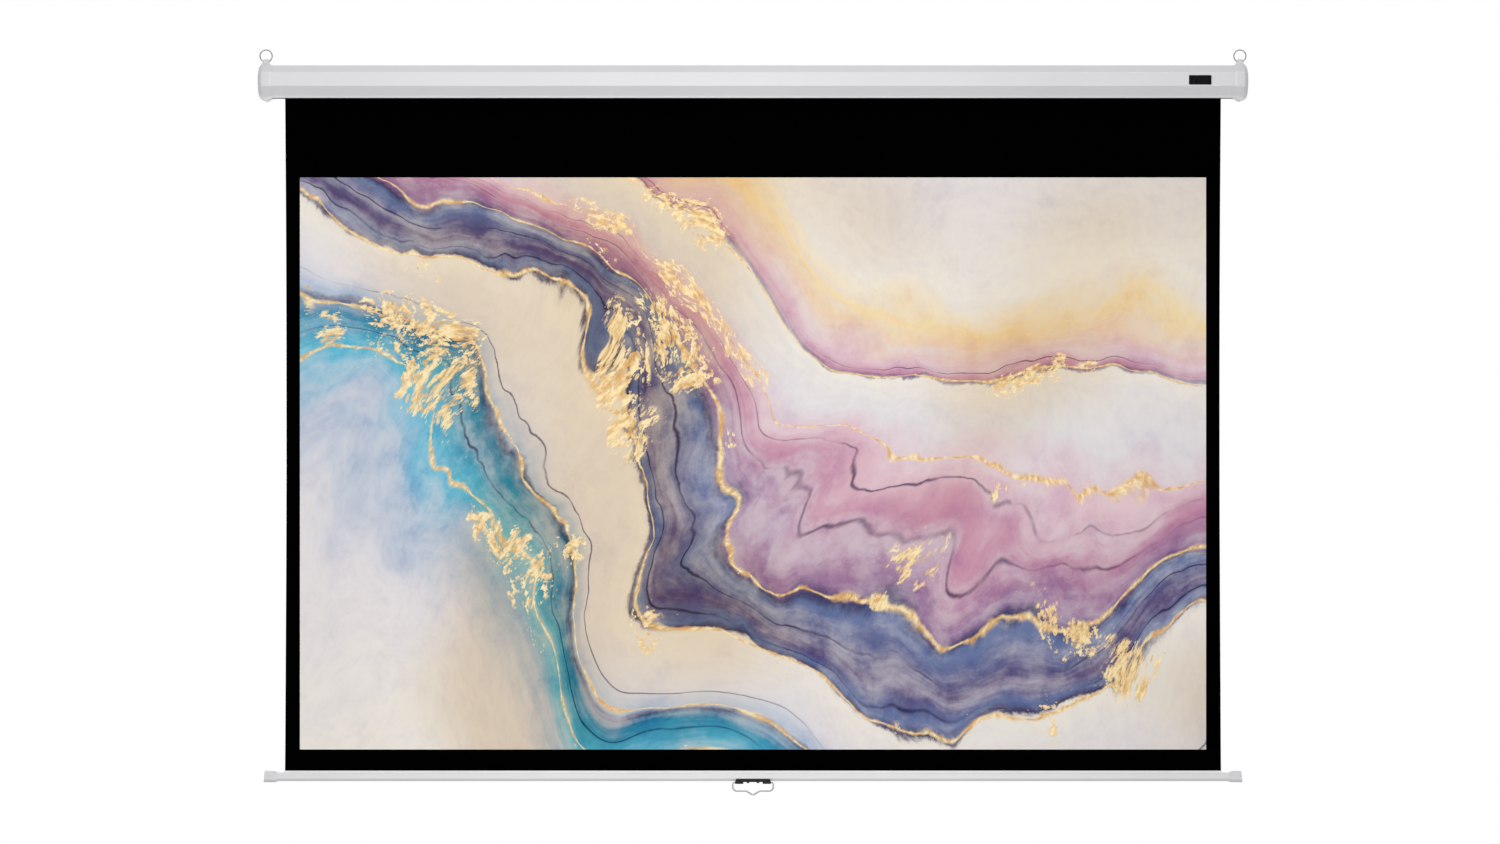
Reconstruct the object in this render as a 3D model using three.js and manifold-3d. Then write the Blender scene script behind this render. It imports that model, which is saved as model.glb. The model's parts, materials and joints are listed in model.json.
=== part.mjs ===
// A manual pull-down projection screen: a white roll-formed case with domed end caps and hanging rings, a
// spring roller with a ratchet lock inside it, a matt white screen with black borders, and a weighted bar
// with a wire pull handle. Millimetres. +X is the right-hand side seen from the front, +Y points at the
// wall and +Z is up. The origin is the middle of the case's flat rear face.
import * as THREE from "three";
import { mergeVertices } from "three/addons/utils/BufferGeometryUtils.js";
import Module from "manifold-3d";

const wasm = await Module();
wasm.setup();

// Screen surface
const VIEW_WIDTH = 2024;
const VIEW_HEIGHT = 1278;
const SIDE_BORDER = 30;
const TOP_DROP = 176;
const BOTTOM_BORDER = 47;
const FABRIC_THICKNESS = 0.45;
const MASK_THICKNESS = 0.2;
const WOUND_LAYERS = 3;

// Clearances
const CLEARANCE = 0.3;
const ADHESIVE = 0.1;
const OVERRUN = 5;

// Case: a folded steel section, sized by the room it leaves round the full roll
const CASE_WALL = 1;
const CASE_MARGIN = 40;
const ROOM_REAR = 7.85;
const ROOM_FRONT = 5.85;
const ROOM_ABOVE = 6.05;
const ROOM_BELOW = 10.05;
const UPPER_BEVEL_HEIGHT = 16.2;
const UPPER_BEVEL_DEPTH = 18;
const LOWER_BEVEL_HEIGHT = 21;
const LOWER_BEVEL_DEPTH = 22;
const LIP_HEIGHT = 4.8;
const LIP_RETURN = 5;
const REAR_FLANGE = 6;
const BEND_RADIUS = 2;

// End caps and their lugs
const CAP_COLLAR = 11;
const CAP_WALL = 2.2;
const CAP_LEAD_IN = 3;
const CAP_LEAD_WALL = 0.9;
const CAP_SHOULDER = 1.6;
const CAP_BODY = 9.7;
const CAP_DOME = 12.5;
const CAP_DOME_WALL = 3;
const CAP_SWELL = 4.6;
const CAP_SWELL_REACH = 4;
const CAP_SWELL_SHARES = [1, 0, 0, 0, 0, 0.5, 1];
const LEAD_SWELL_SHARE = 0.17;
const DOME_SWELL_SHARE = 0.5;
const CAP_EDGE_RADIUS = 3;
const DOME_END_SHARE = 0.38;
const BOSS_RADIUS = 5.6;
const BOSS_INSET = 9.15;
const COUNTERBORE_DEPTH = 3.4;
const LUG_OFFSET = 4.3;
const LUG_TOP_WIDTH = 10;
const LUG_BASE_WIDTH = 21;
const LUG_BASE_DEPTH = 19;
const LUG_WALL = 2.6;
const LUG_RISE = 8.4;
const LUG_FLARE_SHARE = 0.52;
const RING_SETBACK = 30;
const RING_MEAN_RADIUS = 13.5;
const RING_WIRE_RADIUS = 1.3;

// End plates, rivets and screws
const PLATE_THICKNESS = 2;
const PLATE_FLANGE_LENGTH = 20;
const PLATE_FLANGE_MARGIN = 6;
const RIVET_INSET = 0.8;
const RIVET_SHANK_RADIUS = 1.9;
const RIVET_HEAD_RADIUS = 3.2;
const RIVET_HEAD_HEIGHT = 1;
const HEAD_CROWN_SHARE = 0.7;
const CAP_SCREW_RADIUS = 1.7;
const CAP_SCREW_TIP = 2;
const SCREW_HEAD_RADIUS = 3.2;
const SCREW_HEAD_HEIGHT = 2.2;
const RECESS_LENGTH = 3.4;
const RECESS_WIDTH = 0.9;
const RECESS_DEPTH = 1.1;

// Name badge
const BADGE_WIDTH = 50;
const BADGE_HEIGHT = 21;
const BADGE_THICKNESS = 1.2;
const BADGE_RADIUS = 1.5;
const BADGE_INSET = 87;
const BADGE_DROP = 2;

// Roller and its right-hand idler end
const TUBE_RADIUS = 19;
const TUBE_WALL = 1.2;
const TUBE_MARGIN = 24;
const PLUG_DEPTH = 24;
const PLUG_FLANGE = 3;
const PLUG_RIVET_INSET = 8;
const PLUG_RIVET_DEPTH = 5;
const PLUG_RIVET_RADIUS = 1.5;
const PLUG_RIVET_HEAD_RADIUS = 2.8;
const PLUG_RIVET_HEAD_HEIGHT = 0.8;
const IDLER_PIN_RADIUS = 3;
const IDLER_PIN_EXTENSION = 4;
const IDLER_PIN_GRIP = 20;
const IDLER_HUB_RADIUS = 8;
const BUSH_WALL = 2.7;
const BUSH_FLANGE_RADIUS = 8.5;
const BUSH_FLANGE = 2.4;

// Spring and lock at the left-hand end
const SPINDLE_RADIUS = 4;
const TANG_THICKNESS = 3.2;
const TANG_EXTENSION = 6;
const LOCK_BUSH_WALL = 2.7;
const MANDREL_LENGTH = 14;
const ANCHOR_FLANGE = 4;
const GUIDE_LENGTH = 6;
const SPRING_LENGTH = 300;
const SPRING_COILS = 24;
const SPRING_END_COILS = 2;
const SPRING_WIRE_RADIUS = 1.1;
const SPRING_INNER_RADIUS = 10.1;
const SPRING_CLOSE_GAP = 0.5;
const RATCHET_RADIUS = 8.5;
const RATCHET_THICKNESS = 5.4;
const NOTCH_DEPTH = 3;
const NOTCH_HALF_WIDTH = 2.1;
const NOTCH_RAMP = 2.5;
const PAWL_THICKNESS = 4.4;
const PAWL_PIVOT_INSET = 2.5;
const PAWL_PIVOT_ANGLE = 48.5;
const PAWL_BOSS_RADIUS = 3.1;
const PAWL_PIN_RADIUS = 1.3;
const PAWL_PIN_HEAD_RADIUS = 2.3;
const PAWL_PIN_HEAD = 0.8;
const PAWL_NOSE_HALF_WIDTH = 1.6;
const PAWL_HEAD_HEIGHT = 4.2;
const PAWL_OVER_RIM = 0.5;
const PAWL_SWING = 16;
const PAWL_TIP_SHARE = 0.7;
const CLIP_RADIUS = 6.5;
const CLIP_THICKNESS = 0.8;

// Weight bar
const BAR_HEIGHT = 19;
const BAR_WIDTH = 15;
const BAR_BOTTOM_ROUND = 7.5;
const BAR_TOP_RADIUS = 1.6;
const BAR_MARGIN = 35.2;
const GROOVE_DEPTH = 6.5;
const CLAMP_WIDTH = 7;
const CLAMP_RISE = 4.4;
const CLAMP_END = 3;
const CLAMP_END_SLOPE = 5;
const HEM_ROD_RADIUS = 1.3;
const HEM_ROD_INSET = 5;
const HEM_ROD_DEPTH = 6.4;
const SLIT_ROOM = 0.25;
const BALLAST_RADIUS = 3.5;
const BALLAST_RAISE = 7;
const BAR_CAP_SOCKET = 15;
const BAR_CAP_NECK = 8;
const BAR_CAP_END = 13;
const BAR_CAP_SIDE = 1.6;
const BAR_CAP_ABOVE = 4.2;
const BAR_CAP_BELOW = 2.4;
const BAR_CAP_LIP_SHARE = 0.35;
const BAR_CAP_SLANT = 3;
const BAR_CAP_PEG = 10;

// Pull handle
const BRACKET_HALF_LENGTH = 40;
const BRACKET_END_SLOPE = 2.5;
const BRACKET_WALL = 1.9;
const BRACKET_FLANGE_RISE = 5.7;
const LOBE_LENGTH = 18.5;
const LOBE_HALF_WIDTH = 4.6;
const LOBE_WALL = 1.2;
const BAIL_WIRE_RADIUS = 1.75;
const BAIL_GRIP = 10;
const BAIL_HALF_WIDTH = 45.3;
const BAIL_DROP = 19;
const BAIL_UPPER_BEND = 5;
const BAIL_LOWER_BEND = 9;
const BAIL_DIP_HALF_WIDTH = 15.4;
const BAIL_DIP = 11.6;
const BAIL_DIP_BEND = 8;
const BAIL_SHOULDER_BEND = 5;
const BRACKET_SCREW_SPREAD = 11;
const BRACKET_SCREW_RADIUS = 1.4;
const BRACKET_SCREW_BITE = 2.2;

// Facets
const ROUND = 32;
const SMALL_ROUND = 16;
const PIN_ROUND = 12;
const RING_ROUND = 24;
const CURL_STEPS = 8;
const CURL_SIDES = 5;
const BEND_STEPS = 2;
const WIRE_SIDES = 8;
const CORNER_SHARE = 0.48;
const LEAST_MITRE_SHARE = 0.5;
const WELD_DISTANCE = 0.001;

// Places worked out from the sizes. Heights are measured from the middle of the case.
const fabricHalf = VIEW_WIDTH / 2 + SIDE_BORDER;
const sheetThickness = FABRIC_THICKNESS + MASK_THICKNESS;
const woundRadius = TUBE_RADIUS + CLEARANCE + WOUND_LAYERS * FABRIC_THICKNESS;
const windingLength = TOP_DROP + VIEW_HEIGHT + BOTTOM_BORDER;
const fullRollRadius = Math.sqrt(woundRadius ** 2 + (windingLength * sheetThickness) / Math.PI);
const caseDepth = 2 * CASE_WALL + 2 * fullRollRadius + ROOM_REAR + ROOM_FRONT;
const caseHeight = 2 * CASE_WALL + 2 * fullRollRadius + ROOM_ABOVE + ROOM_BELOW;
const caseTop = caseHeight / 2;
const axisY = -(CASE_WALL + ROOM_REAR + fullRollRadius);
const axisZ = caseTop - CASE_WALL - ROOM_ABOVE - fullRollRadius;
const faceTop = caseTop - UPPER_BEVEL_HEIGHT;
const lipTop = -caseTop + LIP_HEIGHT;
const faceBottom = lipTop + LOWER_BEVEL_HEIGHT;
const lipY = -caseDepth + LOWER_BEVEL_DEPTH;
const shellHalf = fabricHalf + CASE_MARGIN;
const plateInner = shellHalf - PLATE_THICKNESS;
const capSeat = shellHalf + CLEARANCE;
const domeStart = capSeat + CAP_BODY;
const capEnd = domeStart + CAP_DOME;
const capOffset = CAP_WALL + CLEARANCE;
const maskFront = axisY + woundRadius + CLEARANCE;
const sheetFront = maskFront + MASK_THICKNESS;
const sheetBack = sheetFront + FABRIC_THICKNESS;
const sheetMiddle = (sheetFront + sheetBack) / 2;
const viewTop = -caseTop - TOP_DROP;
const viewBottom = viewTop - VIEW_HEIGHT;
const clampTop = viewBottom - BOTTOM_BORDER;
const barTop = clampTop - CLAMP_RISE;
const barBottom = barTop - BAR_HEIGHT;
const barHalf = fabricHalf + BAR_MARGIN;
const lugX = shellHalf + LUG_OFFSET;
const ringHalfChord = LUG_TOP_WIDTH / 2 + ((LUG_BASE_WIDTH - LUG_TOP_WIDTH) / 2) * LUG_FLARE_SHARE;
const ringRise = RING_MEAN_RADIUS - Math.sqrt(RING_MEAN_RADIUS ** 2 - ringHalfChord ** 2);
const lugHoleRadius = RING_WIRE_RADIUS + ringRise + CLEARANCE;
const lugHoleZ = caseTop + LUG_RISE;
const lugTop = lugHoleZ + lugHoleRadius + LUG_WALL;

// Finishes
function finish(color, roughness, metalness = 0) {
  return new THREE.MeshStandardMaterial({ color, roughness, metalness });
}

const whiteSteel = finish(0xe3e2e6, 0.4);
const whitePlastic = finish(0xdedee0, 0.45);
const blackPlastic = finish(0x18181a, 0.45);
const bareSteel = finish(0x9a9ca0, 0.35, 0.9);
const blackSteel = finish(0x28282a, 0.4, 0.6);
const chromeWire = finish(0xb8babd, 0.2, 1);
const springSteel = finish(0x5c5f63, 0.4, 0.8);
const nylon = finish(0xe9e6da, 0.6);
const screenWhite = finish(0xf0f0ee, 0.9);
const maskBlack = finish(0x050505, 0.9);

// Turns a closed geometry into a solid that can be joined and cut.
function toSolid(geometry) {
  const bare = new THREE.BufferGeometry();
  bare.setAttribute("position", geometry.getAttribute("position"));
  if (geometry.index) bare.setIndex(geometry.index);
  const merged = mergeVertices(bare, WELD_DISTANCE);
  const solid = new wasm.Manifold(
    new wasm.Mesh({
      numProp: 3,
      vertProperties: merged.attributes.position.array,
      triVerts: new Uint32Array(merged.index.array),
    }),
  );
  return solid;
}

// Turns a joined or cut solid back into a geometry.
function toGeometry(solid) {
  const mesh = solid.getMesh();
  const points = new Float32Array(mesh.numVert * 3);
  for (let i = 0; i < mesh.numVert; i++) {
    points.set(mesh.vertProperties.subarray(i * mesh.numProp, i * mesh.numProp + 3), i * 3);
  }
  const geometry = new THREE.BufferGeometry();
  geometry.setAttribute("position", new THREE.BufferAttribute(points, 3));
  geometry.setIndex(new THREE.BufferAttribute(new Uint32Array(mesh.triVerts), 1));
  geometry.computeVertexNormals();
  return geometry;
}

function join(first, ...others) {
  return toGeometry(others.reduce((solid, other) => solid.add(toSolid(other)), toSolid(first)));
}

function cut(body, ...tools) {
  return toGeometry(tools.reduce((solid, tool) => solid.subtract(toSolid(tool)), toSolid(body)));
}

function common(first, second) {
  return toGeometry(toSolid(first).intersect(toSolid(second)));
}

// Outlines are lists of points, counterclockwise, so the inside is on the left.
function point(x, y) {
  return new THREE.Vector2(x, y);
}

function shapeOf(points, holes = []) {
  const shape = new THREE.Shape(points);
  shape.holes = holes.map((hole) => new THREE.Path(hole));
  return shape;
}

// Moves each edge outwards by a distance, with mitred corners. An open line keeps square ends.
function offsetOutline(points, distance, closed = true) {
  const count = points.length;
  const normal = (a, b) => point(b.y - a.y, a.x - b.x).normalize();
  return points.map((corner, i) => {
    const before = points[(i - 1 + count) % count];
    const after = points[(i + 1) % count];
    const first = closed || i > 0 ? normal(before, corner) : normal(corner, after);
    const second = closed || i < count - 1 ? normal(corner, after) : first;
    const mitre = first.clone().add(second).divideScalar(1 + first.dot(second));
    return corner.clone().addScaledVector(mitre, distance);
  });
}

// Rounds each corner with an arc. The radius is limited by the corner's shorter side.
function roundOutline(points, radius, steps = BEND_STEPS, closed = true) {
  const rounded = [];
  points.forEach((corner, i) => {
    if (!closed && (i === 0 || i === points.length - 1)) {
      rounded.push(corner.clone());
      return;
    }
    const back = points[(i - 1 + points.length) % points.length].clone().sub(corner);
    const ahead = points[(i + 1) % points.length].clone().sub(corner);
    const shortest = Math.min(back.length(), ahead.length());
    back.normalize();
    ahead.normalize();
    const half = Math.acos(THREE.MathUtils.clamp(back.dot(ahead), -1, 1)) / 2;
    const wanted = typeof radius === "function" ? radius(i) : radius;
    const reach = Math.min(wanted / Math.tan(half), shortest * CORNER_SHARE);
    const size = reach * Math.tan(half);
    const centre = back.clone().add(ahead).normalize().multiplyScalar(size / Math.sin(half)).add(corner);
    const start = corner.clone().addScaledVector(back, reach).sub(centre);
    const end = corner.clone().addScaledVector(ahead, reach).sub(centre);
    const turn = Math.atan2(start.cross(end), start.dot(end));
    for (let k = 0; k <= steps; k++) {
      rounded.push(start.clone().rotateAround(point(0, 0), (turn * k) / steps).add(centre));
    }
  });
  return rounded;
}

function rectangle(x0, x1, y0, y1) {
  return [point(x0, y0), point(x1, y0), point(x1, y1), point(x0, y1)];
}

function circle(x, y, radius, sides = SMALL_ROUND) {
  return Array.from({ length: sides }, (_, i) => {
    const angle = (2 * Math.PI * i) / sides;
    return point(x + radius * Math.cos(angle), y + radius * Math.sin(angle));
  });
}

// Extrudes a (y, z) outline along X, an (x, z) outline along Y, or an (x, y) outline along Z.
const ALONG_X = new THREE.Matrix4().makeBasis(
  new THREE.Vector3(0, 1, 0),
  new THREE.Vector3(0, 0, 1),
  new THREE.Vector3(1, 0, 0),
);
const ALONG_Y = new THREE.Matrix4().makeBasis(
  new THREE.Vector3(1, 0, 0),
  new THREE.Vector3(0, 0, 1),
  new THREE.Vector3(0, -1, 0),
);

function extrude(shape, depth) {
  return new THREE.ExtrudeGeometry(shape, { depth, bevelEnabled: false, steps: 1 });
}

function alongX(outline, x0, x1, holes) {
  return extrude(shapeOf(outline, holes), x1 - x0).applyMatrix4(ALONG_X).translate(x0, 0, 0);
}

function alongY(outline, y0, y1, holes) {
  return extrude(shapeOf(outline, holes), y1 - y0).applyMatrix4(ALONG_Y).translate(0, y1, 0);
}

function alongZ(outline, z0, z1, holes) {
  return extrude(shapeOf(outline, holes), z1 - z0).translate(0, 0, z0);
}

function box(x0, x1, y0, y1, z0, z1) {
  return new THREE.BoxGeometry(x1 - x0, y1 - y0, z1 - z0).translate(
    (x0 + x1) / 2,
    (y0 + y1) / 2,
    (z0 + z1) / 2,
  );
}

// Turns a profile of [radius, distance] pairs about an axis. A bored profile closes on itself.
function turned(profile, sides, bored) {
  const points = profile.map(([radius, distance]) => point(radius, distance));
  if (bored) points.push(points[0].clone());
  return new THREE.LatheGeometry(points, sides);
}

const TURN_TO_X = new THREE.Matrix4().makeBasis(
  new THREE.Vector3(0, 0, 1),
  new THREE.Vector3(1, 0, 0),
  new THREE.Vector3(0, 1, 0),
);
const TURN_TO_Z = new THREE.Matrix4().makeBasis(
  new THREE.Vector3(1, 0, 0),
  new THREE.Vector3(0, 0, 1),
  new THREE.Vector3(0, -1, 0),
);

function turnedX(profile, y, z, sides = SMALL_ROUND, bored = false) {
  return turned(profile, sides, bored).applyMatrix4(TURN_TO_X).translate(0, y, z);
}

function turnedZ(profile, x, y, sides = SMALL_ROUND, bored = false) {
  return turned(profile, sides, bored).applyMatrix4(TURN_TO_Z).translate(x, y, 0);
}

function rodX(radius, x0, x1, y, z, sides = SMALL_ROUND) {
  return turnedX([[0, x0], [radius, x0], [radius, x1], [0, x1]], y, z, sides);
}

function rodZ(radius, z0, z1, x, y, sides = SMALL_ROUND) {
  return turnedZ([[0, z0], [radius, z0], [radius, z1], [0, z1]], x, y, sides);
}

function pipeX(inner, outer, x0, x1, y, z, sides = ROUND) {
  return turnedX([[inner, x0], [outer, x0], [outer, x1], [inner, x1]], y, z, sides, true);
}

// Skins a row of rings, each a list of as many points, and closes both ends with the given faces.
function skin(rings, endFaces) {
  const count = rings[0].length;
  const last = (rings.length - 1) * count;
  const index = [];
  for (let first = 0; first < last; first += count) {
    for (let i = 0; i < count; i++) {
      const a = first + i;
      const b = first + ((i + 1) % count);
      index.push(a, b, b + count, a, b + count, a + count);
    }
  }
  endFaces.forEach(([a, b, c]) => index.push(c, b, a, last + a, last + b, last + c));
  const positions = rings.flat().flatMap((p) => [p.x, p.y, p.z]);
  const geometry = new THREE.BufferGeometry();
  geometry.setAttribute("position", new THREE.Float32BufferAttribute(positions, 3));
  geometry.setIndex(index);
  geometry.computeVertexNormals();
  return geometry;
}

// A solid through sections that stand across X and have the same corners.
function loft(rings) {
  const outline = rings[0].map((p) => point(p.y, p.z));
  return skin(rings, THREE.ShapeUtils.triangulateShape(outline, []));
}

// A wire through round sections, closed by a fan at each end.
function wireFrom(rings) {
  const fan = rings[0].slice(2).map((_, i) => [0, i + 1, i + 2]);
  return skin(rings, fan);
}

function ringAt(x, outline) {
  return outline.map((p) => new THREE.Vector3(typeof x === "function" ? x(p) : x, p.x, p.y));
}

// A pan-head screw turned about X with its head at the +X end, and a cross recess in the head.
function crossScrew(radius, tip, seat, y, z) {
  const crown = seat + SCREW_HEAD_HEIGHT;
  const body = turnedX(
    [
      [0, tip],
      [radius, tip + radius],
      [radius, seat],
      [SCREW_HEAD_RADIUS, seat],
      [SCREW_HEAD_RADIUS, seat + SCREW_HEAD_HEIGHT / 2],
      [SCREW_HEAD_RADIUS / 2, crown],
      [0, crown],
    ],
    y,
    z,
    SMALL_ROUND,
  );
  const floor = crown - RECESS_DEPTH;
  const bar = (halfY, halfZ) => box(floor, crown + OVERRUN, y - halfY, y + halfY, z - halfZ, z + halfZ);
  const long = RECESS_LENGTH / 2;
  const thin = RECESS_WIDTH / 2;
  return cut(body, bar(long, thin), bar(thin, long));
}

const model = new THREE.Group();

function add(name, geometry, material, parent = model) {
  const mesh = new THREE.Mesh(geometry, material);
  mesh.name = name;
  parent.add(mesh);
  return mesh;
}

// Adds a piece at the right-hand end and its mirror image at the left-hand end.
function addPair(base, geometry, material) {
  add(`right_${base}`, geometry, material);
  add(`left_${base}`, geometry, material).scale.x = -1;
}

// The case's closed outer outline, as (y, z) points.
function caseOutline() {
  return [
    point(0, -caseTop),
    point(0, caseTop),
    point(-caseDepth + UPPER_BEVEL_DEPTH, caseTop),
    point(-caseDepth, faceTop),
    point(-caseDepth, faceBottom),
    point(lipY, lipTop),
    point(lipY, -caseTop),
  ];
}

// The folded steel wall: open along the bottom between the rear flange and the front lip's return.
function caseShell() {
  const outer = [
    point(-REAR_FLANGE, -caseTop),
    ...caseOutline(),
    point(lipY + LIP_RETURN, -caseTop),
  ];
  const inner = offsetOutline(outer, -CASE_WALL, false);
  const lipBend = outer.length - 3;
  const outerRadius = (i) => (i === lipBend ? BEND_RADIUS : BEND_RADIUS + CASE_WALL);
  const innerRadius = (i) => (i === lipBend ? BEND_RADIUS + CASE_WALL : BEND_RADIUS);
  const outerLine = roundOutline(outer, outerRadius, BEND_STEPS, false);
  const innerLine = roundOutline(inner, innerRadius, BEND_STEPS, false);
  const shell = alongX([...outerLine, ...innerLine.reverse()], -shellHalf, shellHalf);
  const holes = rivetPlaces().flatMap(([x, y]) => [-x, x].map((side) => rivetHole(side, y)));
  return cut(shell, ...holes);
}

// The two rivets of each end plate stand in the case's flat top.
function rivetPlaces() {
  const x = shellHalf - CAP_COLLAR - RIVET_INSET - RIVET_HEAD_RADIUS;
  const flatFront = -caseDepth + UPPER_BEVEL_DEPTH;
  return [
    [x, flatFront / 4],
    [x, (flatFront * 3) / 4],
  ];
}

function rivetHole(x, y) {
  const radius = RIVET_SHANK_RADIUS + CLEARANCE;
  return rodZ(radius, caseTop - CASE_WALL - PLATE_THICKNESS - OVERRUN, caseTop + OVERRUN, x, y);
}

function plateRivet([x, y]) {
  const flangeBottom = caseTop - CASE_WALL - CLEARANCE - PLATE_THICKNESS;
  const tail = flangeBottom - ADHESIVE;
  const seat = caseTop + ADHESIVE;
  return turnedZ(
    [
      [0, tail - RIVET_HEAD_HEIGHT],
      [RIVET_HEAD_RADIUS, tail - RIVET_HEAD_HEIGHT],
      [RIVET_HEAD_RADIUS, tail],
      [RIVET_SHANK_RADIUS, tail],
      [RIVET_SHANK_RADIUS, seat],
      [RIVET_HEAD_RADIUS, seat],
      [RIVET_HEAD_RADIUS * HEAD_CROWN_SHARE, seat + RIVET_HEAD_HEIGHT * HEAD_CROWN_SHARE],
      [0, seat + RIVET_HEAD_HEIGHT],
    ],
    x,
    y,
  );
}

// The two screws of each cap, as (y, z) points beside the roller's axis.
function capScrewPlaces() {
  const spread = fullRollRadius - BOSS_INSET;
  return [point(axisY, axisZ + spread), point(axisY, axisZ - spread)];
}

// A steel plate across the case's end, with a flange turned in under the case's top.
function endPlate(opening) {
  const inside = offsetOutline(caseOutline(), -(CASE_WALL + CLEARANCE));
  const plate = alongX(roundOutline(inside, BEND_RADIUS), plateInner, shellHalf);
  const flangeTop = caseTop - CASE_WALL - CLEARANCE;
  const flange = box(
    plateInner - PLATE_FLANGE_LENGTH,
    plateInner + PLATE_THICKNESS / 2,
    -caseDepth + UPPER_BEVEL_DEPTH + PLATE_FLANGE_MARGIN,
    -PLATE_FLANGE_MARGIN,
    flangeTop - PLATE_THICKNESS,
    flangeTop,
  );
  const screwHoles = capScrewPlaces().map((p) =>
    rodX(CAP_SCREW_RADIUS + CLEARANCE, plateInner - OVERRUN, shellHalf + OVERRUN, p.x, p.y),
  );
  const rivetHoles = rivetPlaces().map(([x, y]) => rivetHole(x, y));
  return cut(join(plate, flange), opening, ...screwHoles, ...rivetHoles);
}

// One section of the cap, as (y, z) points. The rear stays on the wall plane and the bottom swells.
function capSection(offset, swell) {
  const outline = offsetOutline(caseOutline(), offset).map((p, i) =>
    point(Math.min(p.x, 0), p.y - swell * CAP_SWELL_SHARES[i]),
  );
  return roundOutline(outline, CAP_EDGE_RADIUS);
}

// Shrinks a section about the middle of the cap's end.
function shrink(section, share) {
  const middle = point(axisY, 0);
  return section.map((p) => p.clone().sub(middle).multiplyScalar(share).add(middle));
}

function domeRings(section, start, length) {
  const steps = 4;
  const rings = [];
  for (let k = 1; k <= steps; k++) {
    const angle = (Math.PI / 2) * (k / steps);
    const share = 1 - (1 - Math.cos(angle)) * (1 - DOME_END_SHARE);
    rings.push(ringAt(start + length * Math.sin(angle), shrink(section, share)));
  }
  return rings;
}

// The hanging lug: a rounded tab across the cap's top, bored along X for the ring.
function capLug() {
  const radius = lugHoleRadius + LUG_WALL;
  const foot = caseTop - CAP_WALL;
  const arc = [];
  const steps = 8;
  for (let k = 0; k <= steps; k++) {
    const angle = (Math.PI * k) / steps;
    arc.push(point(-RING_SETBACK + radius * Math.cos(angle), lugHoleZ + radius * Math.sin(angle)));
  }
  const halfDepth = LUG_BASE_DEPTH / 2;
  const tab = alongX(
    [point(-RING_SETBACK - halfDepth, foot), point(-RING_SETBACK + halfDepth, foot), ...arc],
    lugX - LUG_BASE_WIDTH / 2,
    lugX + LUG_BASE_WIDTH / 2,
  );
  const taper = alongY(
    [
      point(lugX - LUG_BASE_WIDTH / 2, foot - OVERRUN),
      point(lugX + LUG_BASE_WIDTH / 2, foot - OVERRUN),
      point(lugX + LUG_BASE_WIDTH / 2, caseTop),
      point(lugX + LUG_TOP_WIDTH / 2, lugTop + CLEARANCE),
      point(lugX - LUG_TOP_WIDTH / 2, lugTop + CLEARANCE),
      point(lugX - LUG_BASE_WIDTH / 2, caseTop),
    ],
    -RING_SETBACK - LUG_BASE_DEPTH,
    -RING_SETBACK + LUG_BASE_DEPTH,
  );
  return common(tab, taper);
}

function endCap() {
  const start = shellHalf - CAP_COLLAR;
  const full = capSection(capOffset, CAP_SWELL);
  const nearDome = capSection(capOffset, CAP_SWELL * DOME_SWELL_SHARE);
  const outside = loft([
    ringAt(start, capSection(CLEARANCE + CAP_LEAD_WALL, 0)),
    ringAt(start + CAP_LEAD_IN, capSection(capOffset, CAP_SWELL * LEAD_SWELL_SHARE)),
    ringAt(capSeat + CAP_SWELL_REACH, full),
    ringAt(domeStart, nearDome),
    ...domeRings(nearDome, domeStart, CAP_DOME),
  ]);
  const socketOutline = offsetOutline(caseOutline(), CLEARANCE).map((p) =>
    point(p.x > 0 ? OVERRUN : p.x, p.y),
  );
  const socket = alongX(socketOutline, start - OVERRUN, capSeat);
  const innerSection = roundOutline(offsetOutline(caseOutline(), -CAP_SHOULDER), CAP_EDGE_RADIUS);
  const hollow = loft([
    ringAt(capSeat - OVERRUN, innerSection),
    ringAt(domeStart, innerSection),
    ...domeRings(innerSection, domeStart, CAP_DOME - CAP_DOME_WALL),
  ]);
  const bosses = capScrewPlaces().map((p) =>
    rodX(BOSS_RADIUS, capSeat, domeStart + CAP_DOME - CAP_DOME_WALL / 2, p.x, p.y),
  );
  const seat = capEnd - COUNTERBORE_DEPTH;
  const bores = capScrewPlaces().flatMap((p) => [
    rodX(CAP_SCREW_RADIUS + CLEARANCE, start, capEnd + OVERRUN, p.x, p.y),
    rodX(SCREW_HEAD_RADIUS + 2 * CLEARANCE, seat, capEnd + OVERRUN, p.x, p.y),
  ]);
  const ringHole = rodX(
    lugHoleRadius,
    lugX - LUG_BASE_WIDTH,
    lugX + LUG_BASE_WIDTH,
    -RING_SETBACK,
    lugHoleZ,
  );
  const shell = join(cut(join(outside, capLug()), socket, hollow), ...bosses);
  return cut(shell, ...bores, ringHole);
}

function hangingRing() {
  return new THREE.TorusGeometry(RING_MEAN_RADIUS, RING_WIRE_RADIUS, WIRE_SIDES, RING_ROUND)
    .rotateX(Math.PI / 2)
    .translate(lugX, -RING_SETBACK, lugHoleZ + RING_MEAN_RADIUS);
}

function nameBadge() {
  const middleX = shellHalf - BADGE_INSET;
  const middleZ = (faceTop + faceBottom) / 2 - BADGE_DROP;
  const outline = rectangle(
    middleX - BADGE_WIDTH / 2,
    middleX + BADGE_WIDTH / 2,
    middleZ - BADGE_HEIGHT / 2,
    middleZ + BADGE_HEIGHT / 2,
  );
  const back = -caseDepth - ADHESIVE;
  return alongY(roundOutline(outline, BADGE_RADIUS), back - BADGE_THICKNESS, back);
}

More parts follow.
